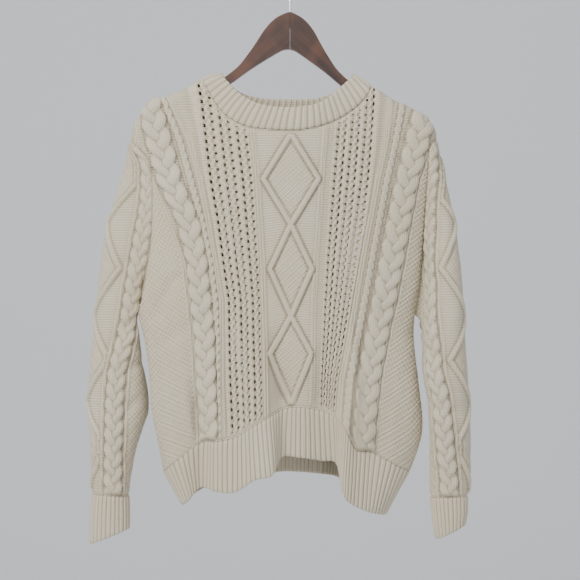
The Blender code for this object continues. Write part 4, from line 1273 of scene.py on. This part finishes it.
def steel_material():
    material, tree, shader = make_material("satin_wire")
    n = Nodes(tree)
    marks = n.noise(400.0, 3.0, 0.6)
    n.link(n.mix(marks, (0.55, 0.55, 0.56), (0.68, 0.68, 0.69)), shader.inputs["Base Color"])
    n.link(n.math("MULTIPLY_ADD", marks, 0.2, 0.22), shader.inputs["Roughness"])
    shader.inputs["Metallic"].default_value = 1.0
    return material


def plain_material(name, colour):
    material, tree, shader = make_material(name)
    n = Nodes(tree)
    grain = n.noise(60.0, 2.0, 0.5)
    n.link(n.mix(grain, colour, tuple(0.985 * c for c in colour)), shader.inputs["Base Color"])
    shader.inputs["Roughness"].default_value = 0.95
    shader.inputs["Specular IOR Level"].default_value = 0.1
    return material


def stage_plane(name, width, depth, place, turn, material):
    bpy.ops.mesh.primitive_plane_add(size=1.0, location=place, rotation=turn)
    plane = bpy.context.object
    plane.name = name
    plane.scale = (width, depth, 1.0)
    plane.data.materials.append(material)


def area_light(name, place, target, size, power, colour=(1.0, 1.0, 1.0)):
    lamp = bpy.data.lights.new(name, "AREA")
    lamp.shape = "SQUARE"
    lamp.size = size
    lamp.energy = power
    lamp.color = colour
    obj = bpy.data.objects.new(name, lamp)
    bpy.context.scene.collection.objects.link(obj)
    obj.location = place
    away = [a - b for a, b in zip(place, target)]
    flat = math.hypot(away[0], away[1])
    obj.rotation_euler = (math.atan2(flat, away[2]), 0.0, math.atan2(away[0], -away[1]))


# The camera looks square on, along +Y, at the cloth's front.
CAMERA_AWAY = 2.6
VIEW_WIDTH = 0.841  # what the view takes in there
VIEW_PLANE = -0.030
VIEW_MIDDLE_Z = -0.4775
SENSOR_WIDTH = 36.0
# The wall is past the camera of a view from behind, so that no view is blocked.
WALL_BEHIND = 3.6
FLOOR_Z = -1.55
STAGE_WIDTH = 16.0


def build_stage():
    wall = plain_material("wall_paint", (0.80, 0.80, 0.815))
    stage_plane("wall", STAGE_WIDTH, STAGE_WIDTH, (0.0, WALL_BEHIND, 0.0), (math.pi / 2, 0.0, 0.0), wall)
    stage_plane("floor", STAGE_WIDTH, 12.0, (0.0, WALL_BEHIND - 6.0, FLOOR_Z), (0.0, 0.0, 0.0), wall)
    area_light("key", (-1.2, -1.9, 1.1), (0.0, 0.0, -0.35), 1.3, 86.0, (1.0, 0.985, 0.955))
    area_light("fill", (1.8, -2.0, -0.1), (0.0, 0.0, -0.5), 2.4, 12.0, (0.97, 0.98, 1.0))
    world = bpy.data.worlds.new("studio")
    world.use_nodes = True
    world.node_tree.nodes["Background"].inputs["Color"].default_value = (0.92, 0.95, 1.0, 1.0)
    world.node_tree.nodes["Background"].inputs["Strength"].default_value = 0.80
    bpy.context.scene.world = world

    camera = bpy.data.cameras.new("camera")
    camera.sensor_width = SENSOR_WIDTH
    camera.lens = SENSOR_WIDTH * CAMERA_AWAY / VIEW_WIDTH
    camera.clip_start, camera.clip_end = 0.1, 30.0
    obj = bpy.data.objects.new("camera", camera)
    obj.location = (0.0, -CAMERA_AWAY + VIEW_PLANE, VIEW_MIDDLE_Z)
    obj.rotation_euler = (math.pi / 2, 0.0, 0.0)
    bpy.context.scene.collection.objects.link(obj)
    bpy.context.scene.camera = obj


def build():
    knit = knit_material("cream_knit", 0.0011)
    rib = knit_material("cream_rib", 0.0009)
    front, columns, neck_share = panel_surface(
        -1, (ARMHOLE_FRONT_LEFT, ARMHOLE_FRONT_RIGHT), NECK_BASE_FRONT, FRONT_FOLDS, 1, NECK_BULGE_FRONT
    )
    back, _, _ = panel_surface(
        1, (ARMHOLE_BACK_LEFT, ARMHOLE_BACK_RIGHT), NECK_BASE_BACK, BACK_FOLDS, 2, NECK_BULGE_BACK
    )
    both = (np.array(STRIPES_LEFT) + np.array(STRIPES_RIGHT)) / 2
    made = {}
    made["front"] = body_panel(
        "front_knit", "front_body", -1, front, (STRIPES_LEFT, STRIPES_RIGHT), FRONT_CREASES, knit
    )
    made["back"] = body_panel("back_knit", "back_body", 1, back, (both, both), BACK_CREASES, knit)
    made["left_sleeve"], left = sleeve(
        "left_sleeve_knit", "left_sleeve", -1, (ARMHOLE_FRONT_LEFT, ARMHOLE_BACK_LEFT), SLEEVE_LEFT,
        BRAID_LEFT, LEFT_SLEEVE_CREASES, knit,
    )
    made["right_sleeve"], right = sleeve(
        "right_sleeve_knit", "right_sleeve", 1, (ARMHOLE_FRONT_RIGHT, ARMHOLE_BACK_RIGHT), SLEEVE_RIGHT,
        BRAID_RIGHT, RIGHT_SLEEVE_CREASES, knit,
    )

    last = 2 * SHOULDER_COLUMNS + NECK_COLUMNS
    turns = (0, SHOULDER_COLUMNS, last - SHOULDER_COLUMNS, last)
    places = np.interp(columns, turns, (0.0, FIRST_NECK_FOLD, 1 - FIRST_NECK_FOLD, 1.0))
    for key, side, panel, folds in (("front_hem", -1, front, FRONT_FOLDS), ("back_hem", 1, back, BACK_FOLDS)):
        fold = by_row(folds, places)
        free = np.stack([fold[:, 3], side * fold[:, 5], fold[:, 4]], axis=1)
        free[0], free[-1] = HEM_SIDE_LEFT[-1], HEM_SIDE_RIGHT[-1]
        made[key] = rib_shell(
            key + "_ribs", key + "_rib", [free, panel[0]], HEM_RIBS, 8, False, -side, 0.0, True, rib
        )

    neck = (columns >= SHOULDER_COLUMNS) & (columns <= last - SHOULDER_COLUMNS)
    share = neck_share[neck]
    base = np.vstack([front[-1, neck], back[-1, neck][::-1]])
    top = np.vstack([along(NECK_TOP_FRONT, share), along(NECK_TOP_BACK, share)[::-1]])
    made["neckband"] = rib_shell(
        "neckband_ribs", "neckband", [base, top], NECK_RIBS, 10, True, 1, 0.0012, False, rib
    )
    for key, surface, sections, flip in (
        ("left_cuff", left, CUFF_LEFT, 1), ("right_cuff", right, CUFF_RIGHT, -1),
    ):
        made[key] = cuff(key, surface, sections, flip, rib)
    return made


def cuff(key, surface, sections, flip, material):
    """The cuff's ribs, from the sleeve's last section to its free edge."""
    turn = np.linspace(-1, 1, surface.shape[1])
    rings = [surface[-1]] + [section_ring(section, turn) for section in sections]
    return rib_shell(key + "_ribs", key, rings[::-1], CUFF_RIBS, 10, True, flip, 0.0, True, material)


made = build()
wood, steel = wood_material(), steel_material()
for node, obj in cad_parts.items():
    if node.startswith("hanger"):
        surface = steel if node == "hanger_hook" else wood
        for slot in obj.material_slots:
            slot.material = surface
        if not obj.material_slots:
            obj.data.materials.append(surface)

build_stage()
